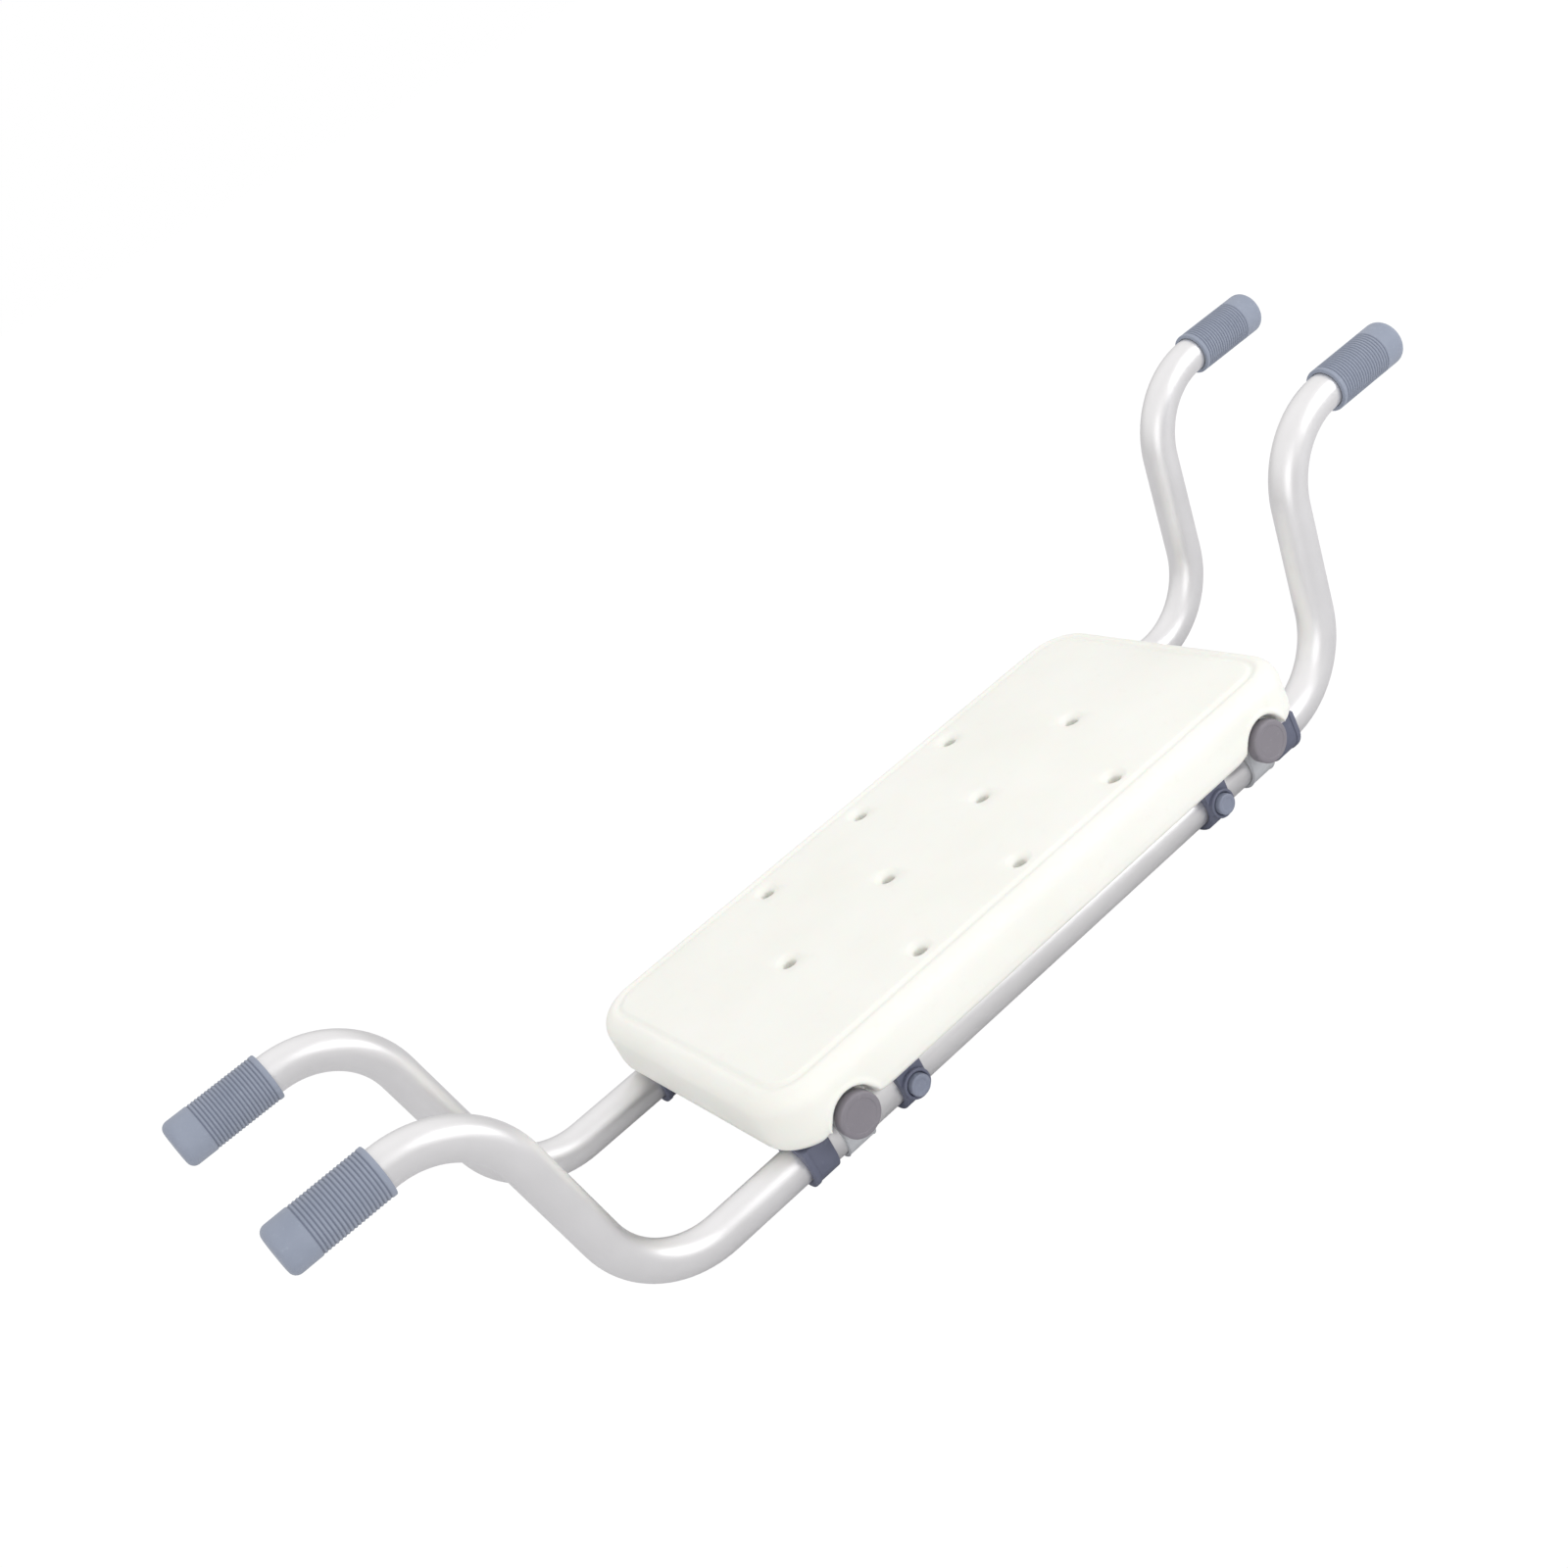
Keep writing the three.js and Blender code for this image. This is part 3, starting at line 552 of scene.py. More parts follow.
def moulded_plastic(name, dark, light, worn, roughness, grain_size, grain_depth, wear=0.3, scale=45.0):
    """Injection-moulded plastic: fine mould grain, a slow drift of tone, and paler rubbed patches."""
    material, tree, shader = new_material(name, IOR=1.49)
    here = node(tree, "ShaderNodeTexCoord").outputs["Object"]
    clouds = place_effect(tree, cloudiness, {"Place": here, "Scale": scale, "Contrast": 1.6}).outputs[0]
    grain = place_effect(tree, fine_grain, {"Place": here, "Grain Size": grain_size}).outputs[0]
    marks = place_effect(tree, handling_marks, {
        "Place": here, "Scale": scale * 5, "Amount": wear}).outputs[0]
    colour = blended(tree, marks, blended(tree, clouds, dark, light), worn)
    tree.links.new(colour, shader.inputs["Base Color"])
    gloss = sums(tree, "ADD", ranged(tree, clouds, roughness - 0.05, roughness + 0.05),
                 sums(tree, "MULTIPLY", marks, 0.1))
    tree.links.new(gloss, shader.inputs["Roughness"])
    bump = node(tree, "ShaderNodeBump", {"Height": grain, "Strength": 0.35, "Distance": grain_depth})
    tree.links.new(bump.outputs[0], shader.inputs["Normal"])
    return material


slate = moulded_plastic("slate_moulding", tone(94, 98, 118), tone(106, 110, 129), tone(138, 142, 156),
                        roughness=0.5, grain_size=0.4, grain_depth=0.0001)
for corner, (x_sign, y_sign) in CORNERS.items():
    low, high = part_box(f"end_collar_{corner}")
    mesh = placed(end_collar_mesh, x_sign, 1, ((low.x + high.x) / 2, y_sign * RAIL_Y, RAIL_Z))
    fit(f"end_sleeve_{corner}", mesh, slate, "frame", "slate_plastic", f"end_collar_{corner}")

# ---- button collars -----------------------------------------------------------------------------
# Plastic sleeves on the rails over the button holes, moulded in one with the round boss that
# guides the button. The bench stands on their round undersides when it is put down.

BUTTON_COLLAR_LENGTH = 17 * MM
BUTTON_COLLAR_RADIUS = RAIL_Z
BOSS_RADIUS = 8.6 * MM
BOSS_FACE = 19 * MM
BUTTON_RADIUS = 6.2 * MM
BUTTON_FACE = 22 * MM


def turn_to_front(mesh):
    """Turns a shape made about the X axis so that its +X end looks to the front."""
    mesh.transform(Matrix.Rotation(-pi / 2, 4, "Z"))
    return mesh


def cut_or_join(body, tool_mesh, operation):
    """Adds a Boolean to a body and gives back its tool, to be removed when the body is made."""
    tool = bpy.data.objects.new("tool", tool_mesh)
    bpy.context.scene.collection.objects.link(tool)
    modifier = body.modifiers.new(operation, "BOOLEAN")
    modifier.object = tool
    modifier.operation = operation
    modifier.solver = "EXACT"
    return tool


half_length = BUTTON_COLLAR_LENGTH / 2
button_collar = sleeve("button_collar", banded(
    -half_length, half_length, BUTTON_COLLAR_RADIUS, COLLAR_TOP, COLLAR_RIM), [
    (half_length, COLLAR_BORE + COLLAR_RIM), (half_length - COLLAR_RIM, COLLAR_BORE),
    (-half_length + COLLAR_RIM, COLLAR_BORE), (-half_length, COLLAR_BORE + COLLAR_RIM)])
boss = turn_to_front(plain_mesh(turned("boss", rounded([
    (COLLAR_BORE + 1.2 * MM, 0, 0), (COLLAR_BORE + 1.2 * MM, BOSS_RADIUS, 0),
    (BOSS_FACE, BOSS_RADIUS, 0.8 * MM), (BOSS_FACE, 0, 0)]))))
pocket = turn_to_front(plain_mesh(turned("pocket", rounded([
    (COLLAR_BORE - 2.5 * MM, 0, 0), (COLLAR_BORE - 2.5 * MM, BUTTON_RADIUS + 0.3 * MM, 0),
    (BOSS_FACE - 0.7 * MM, BUTTON_RADIUS + 0.3 * MM, 0), (BOSS_FACE + 0.2 * MM, BUTTON_RADIUS + 1.2 * MM, 0),
    (BOSS_FACE + 2 * MM, BUTTON_RADIUS + 1.2 * MM, 0), (BOSS_FACE + 2 * MM, 0, 0)]))))
tools = [cut_or_join(button_collar, boss, "UNION"), cut_or_join(button_collar, pocket, "DIFFERENCE")]
button_collar_mesh = plain_mesh(button_collar, crease=30)
for tool in tools:
    bpy.data.objects.remove(tool)
for corner, (x_sign, y_sign) in CORNERS.items():
    mesh = placed(button_collar_mesh, 1, -y_sign, (x_sign * BUTTON_X, y_sign * RAIL_Y, RAIL_Z))
    fit(f"button_sleeve_{corner}", mesh, slate, "frame", "slate_plastic", f"button_collar_{corner}")

# ---- push buttons -------------------------------------------------------------------------------
# Round buttons in a paler plastic, dished for a fingertip. A stem behind each drops through the
# rail into a lock hole of the handle tube, and a coil spring under the skirt lifts it again.

STEM_RADIUS = 2.4 * MM
STEM_TIP = 11.55 * MM
SKIRT_BACK = BUTTON_FACE - 4.5 * MM
BUTTON_WALL = 1.2 * MM
FACE_THICKNESS = 1.6 * MM

button_profile = rounded([
    (STEM_TIP, 0, 0), (STEM_TIP, STEM_RADIUS, 0.5 * MM), (BUTTON_FACE - FACE_THICKNESS, STEM_RADIUS, 0),
    (BUTTON_FACE - FACE_THICKNESS, BUTTON_RADIUS - BUTTON_WALL, 0),
    (SKIRT_BACK, BUTTON_RADIUS - BUTTON_WALL, 0.2 * MM), (SKIRT_BACK, BUTTON_RADIUS, 0.3 * MM),
    (BUTTON_FACE, BUTTON_RADIUS, 0.9 * MM), (BUTTON_FACE, 4.3 * MM, 0.3 * MM),
    (BUTTON_FACE - 0.4 * MM, 3.2 * MM, 0.8 * MM), (BUTTON_FACE - 0.45 * MM, 0, 0)])
button_mesh = turn_to_front(plain_mesh(turned("button", button_profile, sides=48)))
button_plastic = moulded_plastic("button_moulding", tone(124, 130, 148), tone(134, 140, 158),
                                 tone(160, 166, 180), roughness=0.42, grain_size=0.3,
                                 grain_depth=0.00006)
for corner, (x_sign, y_sign) in CORNERS.items():
    mesh = placed(button_mesh, 1, -y_sign, (x_sign * BUTTON_X, y_sign * RAIL_Y, RAIL_Z))
    fit(f"lock_button_{corner}", mesh, button_plastic, f"button_{corner}", "button_plastic",
        f"push_button_{corner}")

# ---- springs, bushes and cross rods -------------------------------------------------------------
# Zinc-plated coil springs sit under the buttons, and two plain steel rods cross the bench through
# the seat. The plastic bushes in the handles' inner ends keep them from rattling in the rails.

zinc, tree, shader = new_material("zinc_plated_steel", Metallic=1.0)
here = node(tree, "ShaderNodeTexCoord").outputs["Object"]
clouds = place_effect(tree, cloudiness, {"Place": here, "Scale": 120.0, "Contrast": 2.2}).outputs[0]
grain = place_effect(tree, fine_grain, {"Place": here, "Grain Size": 0.3}).outputs[0]
tree.links.new(blended(tree, clouds, tone(176, 180, 186), tone(206, 206, 202)), shader.inputs["Base Color"])
tree.links.new(ranged(tree, clouds, 0.28, 0.42), shader.inputs["Roughness"])
bump = node(tree, "ShaderNodeBump", {"Height": grain, "Strength": 0.2, "Distance": 0.00005})
tree.links.new(bump.outputs[0], shader.inputs["Normal"])


def refinish(node_name, material):
    """Gives a CAD node that stays as it is a better material."""
    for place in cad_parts[node_name].material_slots:
        place.material = material


for side in ("left", "right"):
    refinish(f"cross_rod_{side}", zinc)
for corner in CORNERS:
    refinish(f"button_spring_{corner}", zinc)
    refinish(f"guide_bush_{corner}", slate)

# ---- saddles ------------------------------------------------------------------------------------
# Pale grey plastic blocks that clip round the rails by a slit ring and fill pockets under the
# seat. The cross rod passes through them and holds seat, saddle and rail together.

SADDLE_HALF_LENGTH = 9 * MM
SADDLE_HALF_WIDTH = 15 * MM
SADDLE_TOP = 23.5 * MM
SADDLE_RING_RADIUS = 14.6 * MM
cap_low, cap_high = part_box("round_cap_front_right")
ROD_X = (cap_low.x + cap_high.x) / 2
ROD_Z = (cap_low.z + cap_high.z) / 2
ROD_HOLE_RADIUS = 2.3 * MM
SLIT_HALF_HEIGHT = 0.8 * MM

arc = [(-SADDLE_RING_RADIUS * cos(pi * k / 24), -SADDLE_RING_RADIUS * sin(pi * k / 24), 0)
       for k in range(25)]
shoulder = SADDLE_HALF_WIDTH
saddle_outline = rounded([(SADDLE_RING_RADIUS, 0, 0), (shoulder, 1.5 * MM, 0.4 * MM),
                          (shoulder, SADDLE_TOP, 1.2 * MM), (-shoulder, SADDLE_TOP, 1.2 * MM),
                          (-shoulder, 1.5 * MM, 0.4 * MM), (-SADDLE_RING_RADIUS, 0, 0)], steps=4)
section = [Vector(p[:2]) for p in arc] + saddle_outline[1:-1]
points = [(x, p.x, p.y) for x in (-SADDLE_HALF_LENGTH, SADDLE_HALF_LENGTH) for p in section]
count = len(section)
faces = [list(range(count)), list(range(2 * count - 1, count - 1, -1))]
faces += [[k, (k + 1) % count, count + (k + 1) % count, count + k] for k in range(count)]
saddle = blank("saddle", points, faces=faces)
softened = saddle.modifiers.new("softened", "BEVEL")
softened.width = 0.5 * MM
softened.segments = 3
softened.angle_limit = radians(60)
rail_bore = plain_mesh(turned("rail_bore", [(-30 * MM, 0), (-30 * MM, COLLAR_BORE), (30 * MM, COLLAR_BORE),
                                            (30 * MM, 0)]))
rod_bore = turn_to_front(plain_mesh(turned("rod_bore", [
    (-30 * MM, 0), (-30 * MM, ROD_HOLE_RADIUS), (30 * MM, ROD_HOLE_RADIUS), (30 * MM, 0)], sides=32)))
rod_bore.transform(Matrix.Translation((0, 0, ROD_Z - RAIL_Z)))
slit = blank("slit", [(x, y, z) for x in (-20 * MM, 20 * MM) for y in (0, 20 * MM)
                      for z in (-SLIT_HALF_HEIGHT, SLIT_HALF_HEIGHT)],
             faces=[(0, 1, 3, 2), (4, 6, 7, 5), (0, 4, 5, 1), (2, 3, 7, 6), (0, 2, 6, 4), (1, 5, 7, 3)])
tools = [cut_or_join(saddle, cutter, "DIFFERENCE") for cutter in (rail_bore, rod_bore, plain_mesh(slit))]
saddle_mesh = plain_mesh(saddle, crease=30)
for tool in tools:
    bpy.data.objects.remove(tool)
saddle_plastic = moulded_plastic("saddle_moulding", tone(188, 190, 195), tone(198, 200, 204),
                                 tone(212, 213, 216), roughness=0.55, grain_size=0.5, grain_depth=0.0001)
for corner, (x_sign, y_sign) in CORNERS.items():
    mesh = placed(saddle_mesh, 1, -y_sign, (x_sign * ROD_X, y_sign * RAIL_Y, RAIL_Z))
    fit(f"seat_saddle_{corner}", mesh, saddle_plastic, "frame", "saddle_plastic",
        f"rail_saddle_{corner}")

# ---- seat ---------------------------------------------------------------------------------------
# A blow-moulded polyethylene panel: a flat top with a shallow border groove, big soft shoulders, a
# parting line low on its sides, and recesses below for the saddles and the round caps.

SEAT_HALF_LENGTH = 203.0
SEAT_HALF_WIDTH = 102.5
SEAT_TOP = 66.0
SEAT_BOTTOM = 29.5
PLAN_CORNER = 30.0
SHOULDER = 12.0
FOOT_ROUNDING = 8.0
BORDER_INSET = 12.6
GROOVE_RADIUS = 2.6
GROOVE_RISE = 1.1
PARTING_HEIGHT = 36.0
PARTING_RADIUS = 1.5
PARTING_OFFSET = 0.9
NOTCH_RADIUS = 14.8
NOTCH_FLOOR = 90.0
BEAD_RADIUS = 1.5
BEAD_OFFSET = 2.0
POCKET_LOW = (152.7, 60.8, 0)
POCKET_HIGH = (172.3, 93.2, 41.2)
POCKET_CORNER = 1.5
RIB_ROWS = (0.0, 30.0)
RIB_RADIUS = 3.6
RIB_END = 132.0
GRID_STEP = 1.2
GRID_BELOW = 3.2
GRID_MARGIN = 4


def smooth_least(a, b, blend):
    """The lesser of two distance fields, rounded where they meet."""
    h = np.clip(0.5 + 0.5 * (b - a) / blend, 0, 1)
    return b + (a - b) * h - blend * h * (1 - h)


def smooth_cut(body, tool, blend):
    """A body with a tool taken away, rounded along the cut."""
    return -smooth_least(-body, tool, blend)


def box_field(x, y, z, low, high, corner):
    """Signed distance to a box with rounded edges."""
    parts = [np.abs(v - (a + b) / 2) - (b - a) / 2 + corner for v, a, b in zip((x, y, z), low, high)]
    beyond = np.sqrt(sum(np.maximum(p, 0) ** 2 for p in parts))
    return beyond + np.minimum(np.maximum(np.maximum(*parts[:2]), parts[2]), 0) - corner


def seat_field(x, y, z):
    """Signed distance in millimetres, for the quarter of the seat where x and y are positive."""
    qx = x - (SEAT_HALF_LENGTH - PLAN_CORNER)
    qy = y - (SEAT_HALF_WIDTH - PLAN_CORNER)
    plan = np.sqrt(np.maximum(qx, 0) ** 2 + np.maximum(qy, 0) ** 2)
    plan += np.minimum(np.maximum(qx, qy), 0) - PLAN_CORNER
    middle = (SEAT_TOP + SEAT_BOTTOM) / 2
    edge = np.where(z > middle, SHOULDER, FOOT_ROUNDING)
    u = plan + edge
    v = np.abs(z - middle) - (SEAT_TOP - SEAT_BOTTOM) / 2 + edge
    body = np.sqrt(np.maximum(u, 0) ** 2 + np.maximum(v, 0) ** 2) + np.minimum(np.maximum(u, v), 0) - edge

    groove = np.sqrt((plan + BORDER_INSET) ** 2 + (z - SEAT_TOP - GROOVE_RISE) ** 2) - GROOVE_RADIUS
    body = smooth_cut(body, groove, 1.0)
    parting = np.sqrt((plan - PARTING_OFFSET) ** 2 + (z - PARTING_HEIGHT) ** 2) - PARTING_RADIUS
    body = smooth_cut(body, parting, 0.6)

    from_rod = np.sqrt((x - ROD_X / MM) ** 2 + (z - ROD_Z / MM) ** 2)
    bead = (from_rod - NOTCH_RADIUS - BEAD_OFFSET) ** 2 + (y - SEAT_HALF_WIDTH + 0.6) ** 2
    bead = np.sqrt(bead) - BEAD_RADIUS
    bead = np.maximum(bead, SEAT_BOTTOM + 0.8 - z)
    body = smooth_least(body, bead, 1.4)
    # The notch is crisp above the cap and flares softly into the seat's lower edge.
    notch = np.maximum(from_rod - NOTCH_RADIUS, NOTCH_FLOOR - y)
    body = smooth_cut(body, notch, np.interp(z, (30, 40), (9.0, 1.6)))

    pocket = box_field(x, y, z, POCKET_LOW, POCKET_HIGH, POCKET_CORNER)
    body = smooth_cut(body, pocket, 1.0)
    tunnel = from_rod - ROD_HOLE_RADIUS / MM - 0.3
    body = np.maximum(body, -tunnel)
    for row in RIB_ROWS:
        rib = np.sqrt((y - row) ** 2 + (z - SEAT_BOTTOM + 1.0) ** 2) - RIB_RADIUS
        body = smooth_cut(body, np.maximum(rib, x - RIB_END), 1.2)
    return body


quarter = np.meshgrid(
    np.arange(GRID_STEP / 2, SEAT_HALF_LENGTH + GRID_MARGIN, GRID_STEP),
    np.arange(GRID_STEP / 2, SEAT_HALF_WIDTH + GRID_MARGIN, GRID_STEP),
    np.arange(SEAT_BOTTOM - GRID_BELOW, SEAT_TOP + GRID_MARGIN, GRID_STEP), indexing="ij")
field = seat_field(*quarter)
field = np.concatenate([field[::-1], field], axis=0)
field = np.concatenate([field[:, ::-1], field], axis=1)
grid = openvdb.FloatGrid(background=5.0)
grid.copyFromArray(np.ascontiguousarray(field, dtype=np.float32))
points, triangles, quads = grid.convertToPolygons(isovalue=0.0, adaptivity=0.002)
corner_point = np.array([-quarter[0].max(), -quarter[1].max(), SEAT_BOTTOM - GRID_BELOW])
points = (points * GRID_STEP + corner_point) * MM
seat = blank("seat", points, faces=[*map(tuple, triangles.tolist()), *map(tuple, quads.tolist())])

# Drain holes: rows of three, four and three, each flared into a soft dish at the top.
drains, size = shaping_tree("drain_rows", ["Pitch X", "Pitch Y", "Seat Top", "Seat Bottom", "Drain Radius",
                                           "Dish Radius", "Dish Depth"])
bottom_end = node(drains, "ShaderNodeCombineXYZ", {"Z": sums(drains, "SUBTRACT", size["Seat Bottom"], 0.002)})
top_height = sums(drains, "ADD", size["Seat Top"], 0.0006)
top_end = node(drains, "ShaderNodeCombineXYZ", {"Z": top_height})
stem = node(drains, "GeometryNodeCurvePrimitiveLine", {0: bottom_end.outputs[0], 1: top_end.outputs[0]})
stem = node(drains, "GeometryNodeResampleCurve", {"Curve": stem.outputs[0], "Count": 96})
height = node(drains, "ShaderNodeSeparateXYZ", {
    0: node(drains, "GeometryNodeInputPosition").outputs[0]}).outputs["Z"]
dish_bottom = sums(drains, "SUBTRACT", size["Seat Top"], size["Dish Depth"])
flare = node(drains, "ShaderNodeMapRange", {
    "Value": height, "From Min": dish_bottom, "From Max": top_height}).outputs[0]
flare = sums(drains, "POWER", flare, 2.2)
widening = sums(drains, "SUBTRACT", size["Dish Radius"], size["Drain Radius"])
dish_growth = sums(drains, "MULTIPLY", flare, widening)
stem = node(drains, "GeometryNodeSetCurveRadius", {
    "Curve": stem.outputs[0], "Radius": sums(drains, "ADD", size["Drain Radius"], dish_growth)})
radius_here = node(drains, "GeometryNodeInputRadius").outputs[0]
ring = node(drains, "GeometryNodeCurvePrimitiveCircle", {"Resolution": 40, "Radius": 1.0})
cutter = node(drains, "GeometryNodeCurveToMesh", {
    "Curve": stem.outputs[0], "Profile Curve": ring.outputs[0], "Scale": radius_here,
    "Fill Caps": True}).outputs[0]
every_hole = node(drains, "GeometryNodeJoinGeometry")
for row, count in ((-1, 3), (0, 4), (1, 3)):
    start_x = sums(drains, "MULTIPLY", size["Pitch X"], -(count - 1) / 2)
    row_y = sums(drains, "MULTIPLY", size["Pitch Y"], float(row))
    start = node(drains, "ShaderNodeCombineXYZ", {"X": start_x, "Y": row_y})
    step = node(drains, "ShaderNodeCombineXYZ", {"X": size["Pitch X"]})
    centres = node(drains, "GeometryNodeMeshLine", {
        "Count": count, "Start Location": start.outputs[0], "Offset": step.outputs[0]})
    cutters = node(drains, "GeometryNodeInstanceOnPoints", {
        "Points": centres.outputs[0], "Instance": cutter})
    drains.links.new(cutters.outputs[0], every_hole.inputs[0])
cutters = node(drains, "GeometryNodeRealizeInstances", {"Geometry": every_hole.outputs[0]})
pierced = node(drains, "GeometryNodeMeshBoolean", {
    "Mesh 1": size["Geometry"], "Mesh 2": cutters.outputs[0]}, operation="DIFFERENCE", solver="MANIFOLD")
end_tree(drains, pierced.outputs[0], size)
shape_with(seat, drains, Pitch_X=77 * MM, Pitch_Y=75 * MM, Seat_Top=SEAT_TOP * MM,
           Seat_Bottom=SEAT_BOTTOM * MM, Drain_Radius=4.0 * MM, Dish_Radius=9.6 * MM, Dish_Depth=3.8 * MM)
seat_mesh = plain_mesh(seat, crease=50)

# White polyethylene: a waxy satin skin with a soft pebble grain and a little warmth.
polyethylene, tree, shader = new_material("white_polyethylene", IOR=1.5, Subsurface_Weight=0.12,
                                          Subsurface_Scale=0.004)
here = node(tree, "ShaderNodeTexCoord").outputs["Object"]
clouds = place_effect(tree, cloudiness, {"Place": here, "Scale": 14.0, "Contrast": 1.8}).outputs[0]
pebbles = place_effect(tree, fine_grain, {"Place": here, "Grain Size": 1.6}).outputs[0]
grain = place_effect(tree, fine_grain, {"Place": here, "Grain Size": 0.5}).outputs[0]
marks = place_effect(tree, handling_marks, {"Place": here, "Scale": 90.0, "Amount": 0.25}).outputs[0]
body_tone = blended(tree, clouds, tone(240, 240, 233), tone(245, 245, 240))
tree.links.new(blended(tree, marks, body_tone, tone(233, 232, 225)), shader.inputs["Base Color"])
tree.links.new(ranged(tree, clouds, 0.38, 0.48), shader.inputs["Roughness"])
relief = sums(tree, "ADD", sums(tree, "MULTIPLY", pebbles, 0.7), sums(tree, "MULTIPLY", grain, 0.3))
bump = node(tree, "ShaderNodeBump", {"Height": relief, "Strength": 0.25, "Distance": 0.00025})
tree.links.new(bump.outputs[0], shader.inputs["Normal"])
fit("moulded_seat", seat_mesh, polyethylene, "frame", "seat_plastic", "seat_panel")

# ---- round caps and spacers ---------------------------------------------------------------------
# Warm grey plastic discs pushed on the ends of the cross rods, standing a little proud of the
# seat's sides. A paler spacer behind each keeps it off the saddle.

CAP_RADIUS = (cap_high.z - cap_low.z) / 2
CAP_FACE = 106 * MM
CAP_BACK = 99 * MM
SOCKET_END = 103 * MM
SPACER_RADIUS = 9.5 * MM
SPACER_BACK = 92.3 * MM

cap_mesh = turn_to_front(plain_mesh(turned("cap", rounded([
    (SOCKET_END, 0, 0), (SOCKET_END, ROD_HOLE_RADIUS, 0), (CAP_BACK, ROD_HOLE_RADIUS, 0.3 * MM),
    (CAP_BACK, CAP_RADIUS, 0.5 * MM), (CAP_FACE, CAP_RADIUS, 1.5 * MM), (CAP_FACE, 9.6 * MM, 0.4 * MM),
    (CAP_FACE - 0.35 * MM, 9.1 * MM, 0.4 * MM), (CAP_FACE - 0.35 * MM, 0, 0)]), sides=96)))
spacer_mesh = turn_to_front(plain_mesh(turned("spacer", rounded([
    (SPACER_BACK, ROD_HOLE_RADIUS, 0.2 * MM), (SPACER_BACK, SPACER_RADIUS, 0.4 * MM),
    (CAP_BACK - 0.3 * MM, SPACER_RADIUS, 0.4 * MM), (CAP_BACK - 0.3 * MM, ROD_HOLE_RADIUS, 0.2 * MM)],
    closed=True))))
cap_plastic = moulded_plastic("cap_moulding", tone(126, 122, 130), tone(136, 132, 139), tone(160, 157, 162),
                              roughness=0.48, grain_size=0.45, grain_depth=0.0001)
for corner, (x_sign, y_sign) in CORNERS.items():
    shift = (x_sign * ROD_X, 0, ROD_Z)
    fit(f"rod_cap_{corner}", placed(cap_mesh, 1, -y_sign, shift), cap_plastic, "frame", "cap_plastic",
        f"round_cap_{corner}")
    fit(f"rod_spacer_{corner}", placed(spacer_mesh, 1, -y_sign, shift), saddle_plastic, "frame",
        "saddle_plastic", f"cap_spacer_{corner}")

# ---- studio -------------------------------------------------------------------------------------
# A pale floor, a white surround and four soft lights, with the camera above the near left end.

scene = bpy.context.scene
scene.view_settings.view_transform = "Standard"

camera_data = bpy.data.cameras.new("camera")
camera_data.lens = 45.209
camera_data.sensor_width = 36
camera_data.clip_end = 100
camera = bpy.data.objects.new("camera", camera_data)
camera.location = (-0.45308, -0.87927, 0.60304)
camera.rotation_euler = tuple(map(radians, (61.8937, 25.5298, -36.6732)))
scene.collection.objects.link(camera)
scene.camera = camera

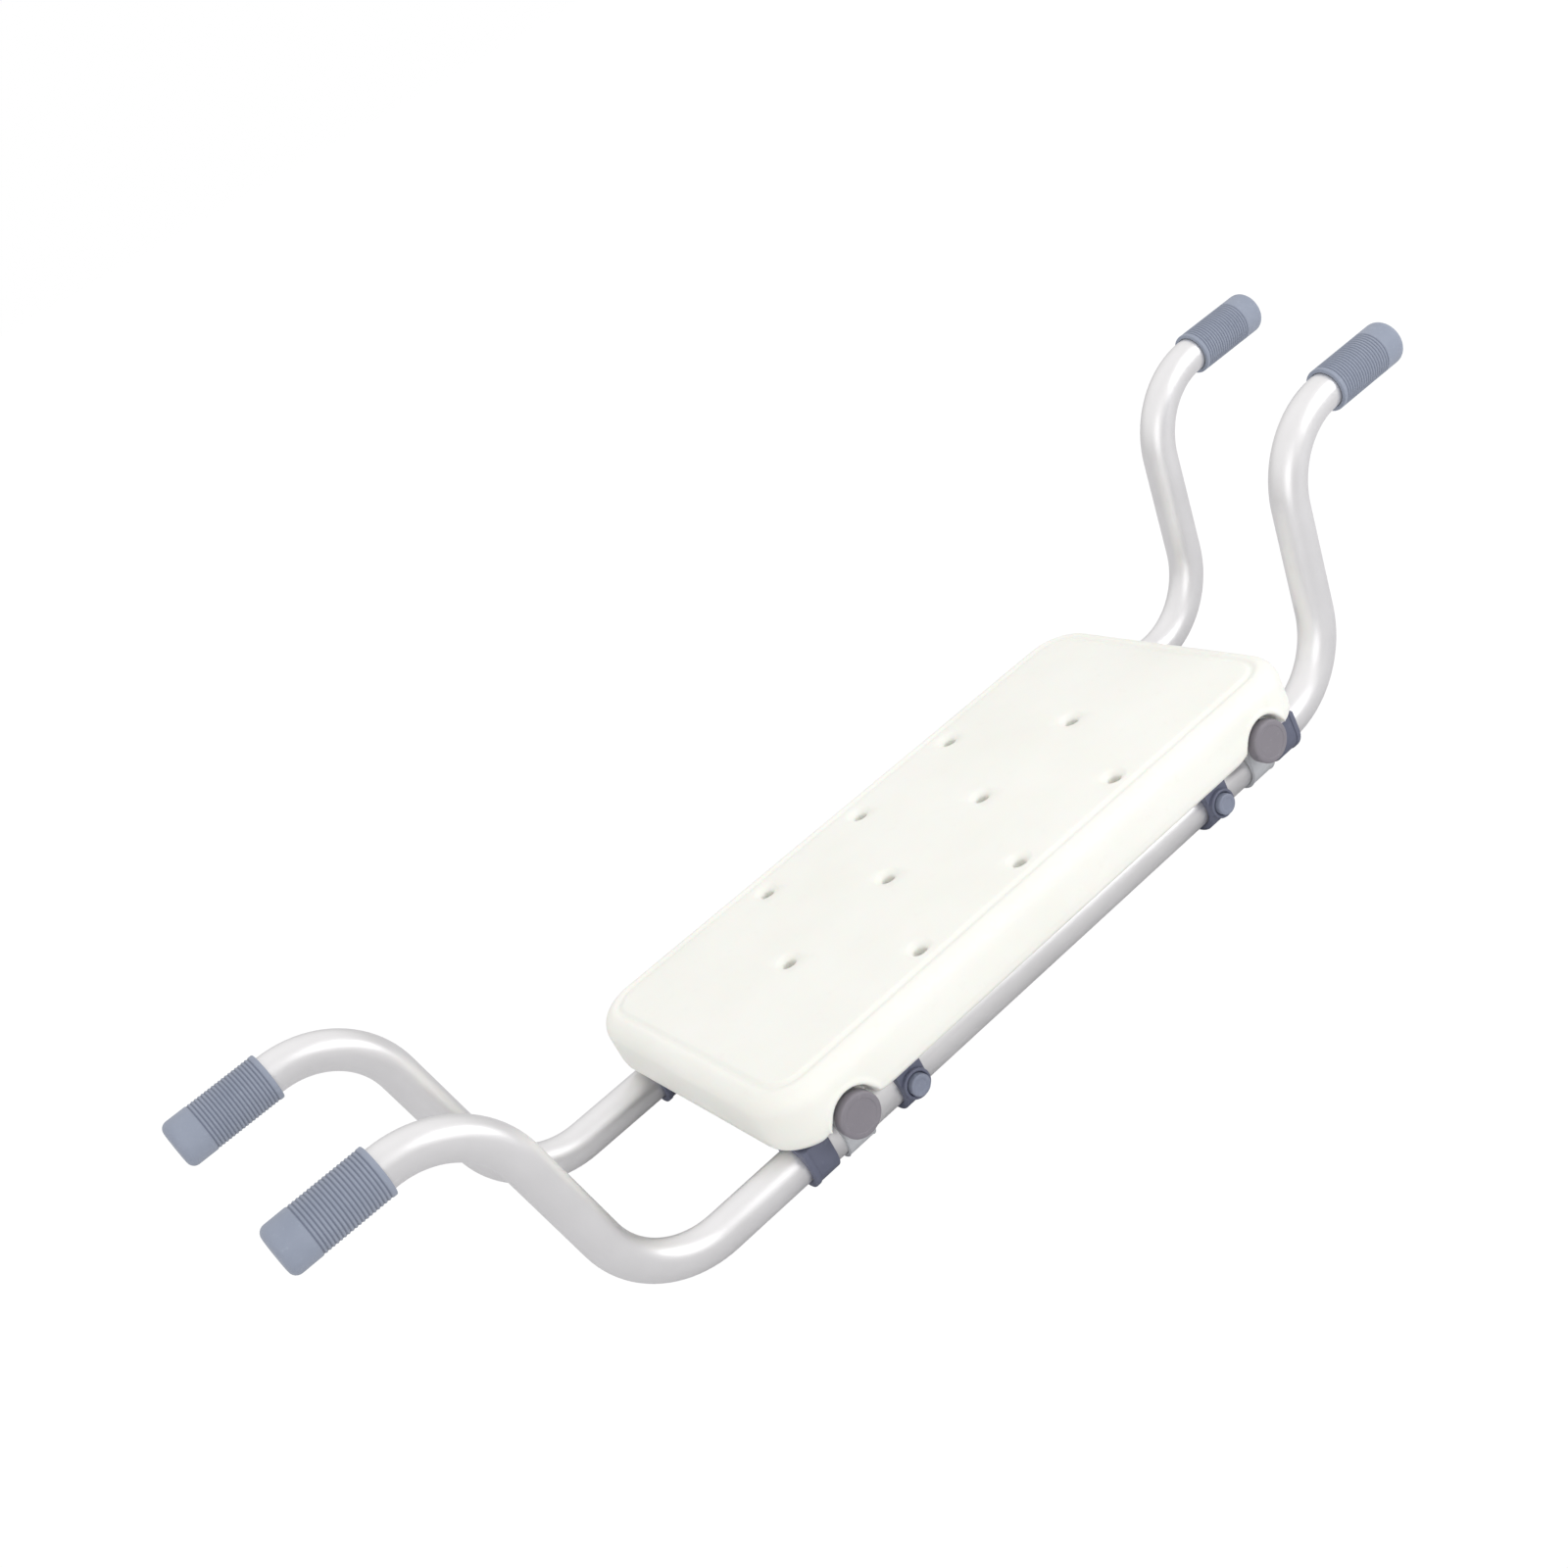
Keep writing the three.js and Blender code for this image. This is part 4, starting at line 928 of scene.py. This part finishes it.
floor = blank("floor", [(-8, -8, 0), (8, -8, 0), (8, 8, 0), (-8, 8, 0)], faces=[(0, 1, 2, 3)])
floor_paint, tree, shader = new_material("pale_floor", Roughness=0.9)
shader.inputs["Base Color"].default_value = (0, 0, 0, 1)
shader.inputs["Emission Color"].default_value = (1, 1, 1, 1)
shader.inputs["Emission Strength"].default_value = 1.0
ray = node(tree, "ShaderNodeLightPath").outputs
bounce = blended(tree, ray["Is Glossy Ray"], (0.8, 0.8, 0.8, 1), (0.62, 0.62, 0.63, 1))
lighting_floor = node(tree, "ShaderNodeBsdfDiffuse", {"Color": bounce})
seen = ray["Is Camera Ray"]
both = node(tree, "ShaderNodeMixShader", {0: seen, 1: lighting_floor.outputs[0], 2: shader.outputs[0]})
tree.links.new(both.outputs[0], tree.nodes["Material Output"].inputs["Surface"])
floor.data.materials.append(floor_paint)

SURROUND_STRENGTH = 0.94
world = bpy.data.worlds.new("surround")
world.use_nodes = True
scene.world = world
tree = world.node_tree
background = tree.nodes["Background"]
background.inputs["Color"].default_value = (1.0, 0.995, 0.99, 1)
ray = node(tree, "ShaderNodeLightPath").outputs
direction = node(tree, "ShaderNodeTexCoord").outputs["Generated"]
above = node(tree, "ShaderNodeSeparateXYZ", {0: direction}).outputs["Z"]
low_walls = node(tree, "ShaderNodeMapRange", {
    "Value": above, "From Min": 0.05, "From Max": 0.5, "To Min": 0.6, "To Max": 1.0}).outputs[0]
dimmed = sums(tree, "MULTIPLY", low_walls, SURROUND_STRENGTH)
strength = node(tree, "ShaderNodeMix", {0: ray["Is Glossy Ray"], 2: SURROUND_STRENGTH, 3: dimmed})
tree.links.new(strength.outputs[0], background.inputs["Strength"])
white = node(tree, "ShaderNodeBackground", {"Color": (1, 1, 1, 1), "Strength": 1.0})
seen = ray["Is Camera Ray"]
both = node(tree, "ShaderNodeMixShader", {0: seen, 1: background.outputs[0], 2: white.outputs[0]})
tree.links.new(both.outputs[0], tree.nodes["World Output"].inputs["Surface"])


def soft_light(name, place, aim, width, power):
    """A square area light, turned to face a point."""
    data = bpy.data.lights.new(name, "AREA")
    data.size = width
    data.energy = power
    lamp = bpy.data.objects.new(name, data)
    lamp.location = place
    lamp.rotation_euler = (Vector(aim) - Vector(place)).to_track_quat("-Z", "Y").to_euler()
    scene.collection.objects.link(lamp)


soft_light("key", (1.1, -1.5, 1.0), (0.1, 0, 0.05), 1.3, 5.5)
soft_light("right end", (0.95, -0.65, 0.45), (0.3, -0.1, 0.1), 0.5, 1.5)
soft_light("top", (0.3, 0.5, 2.0), (0, 0, 0), 1.6, 0.6)
soft_light("fill", (-1.2, -1.5, 0.7), (-0.2, 0, 0.05), 1.2, 4)
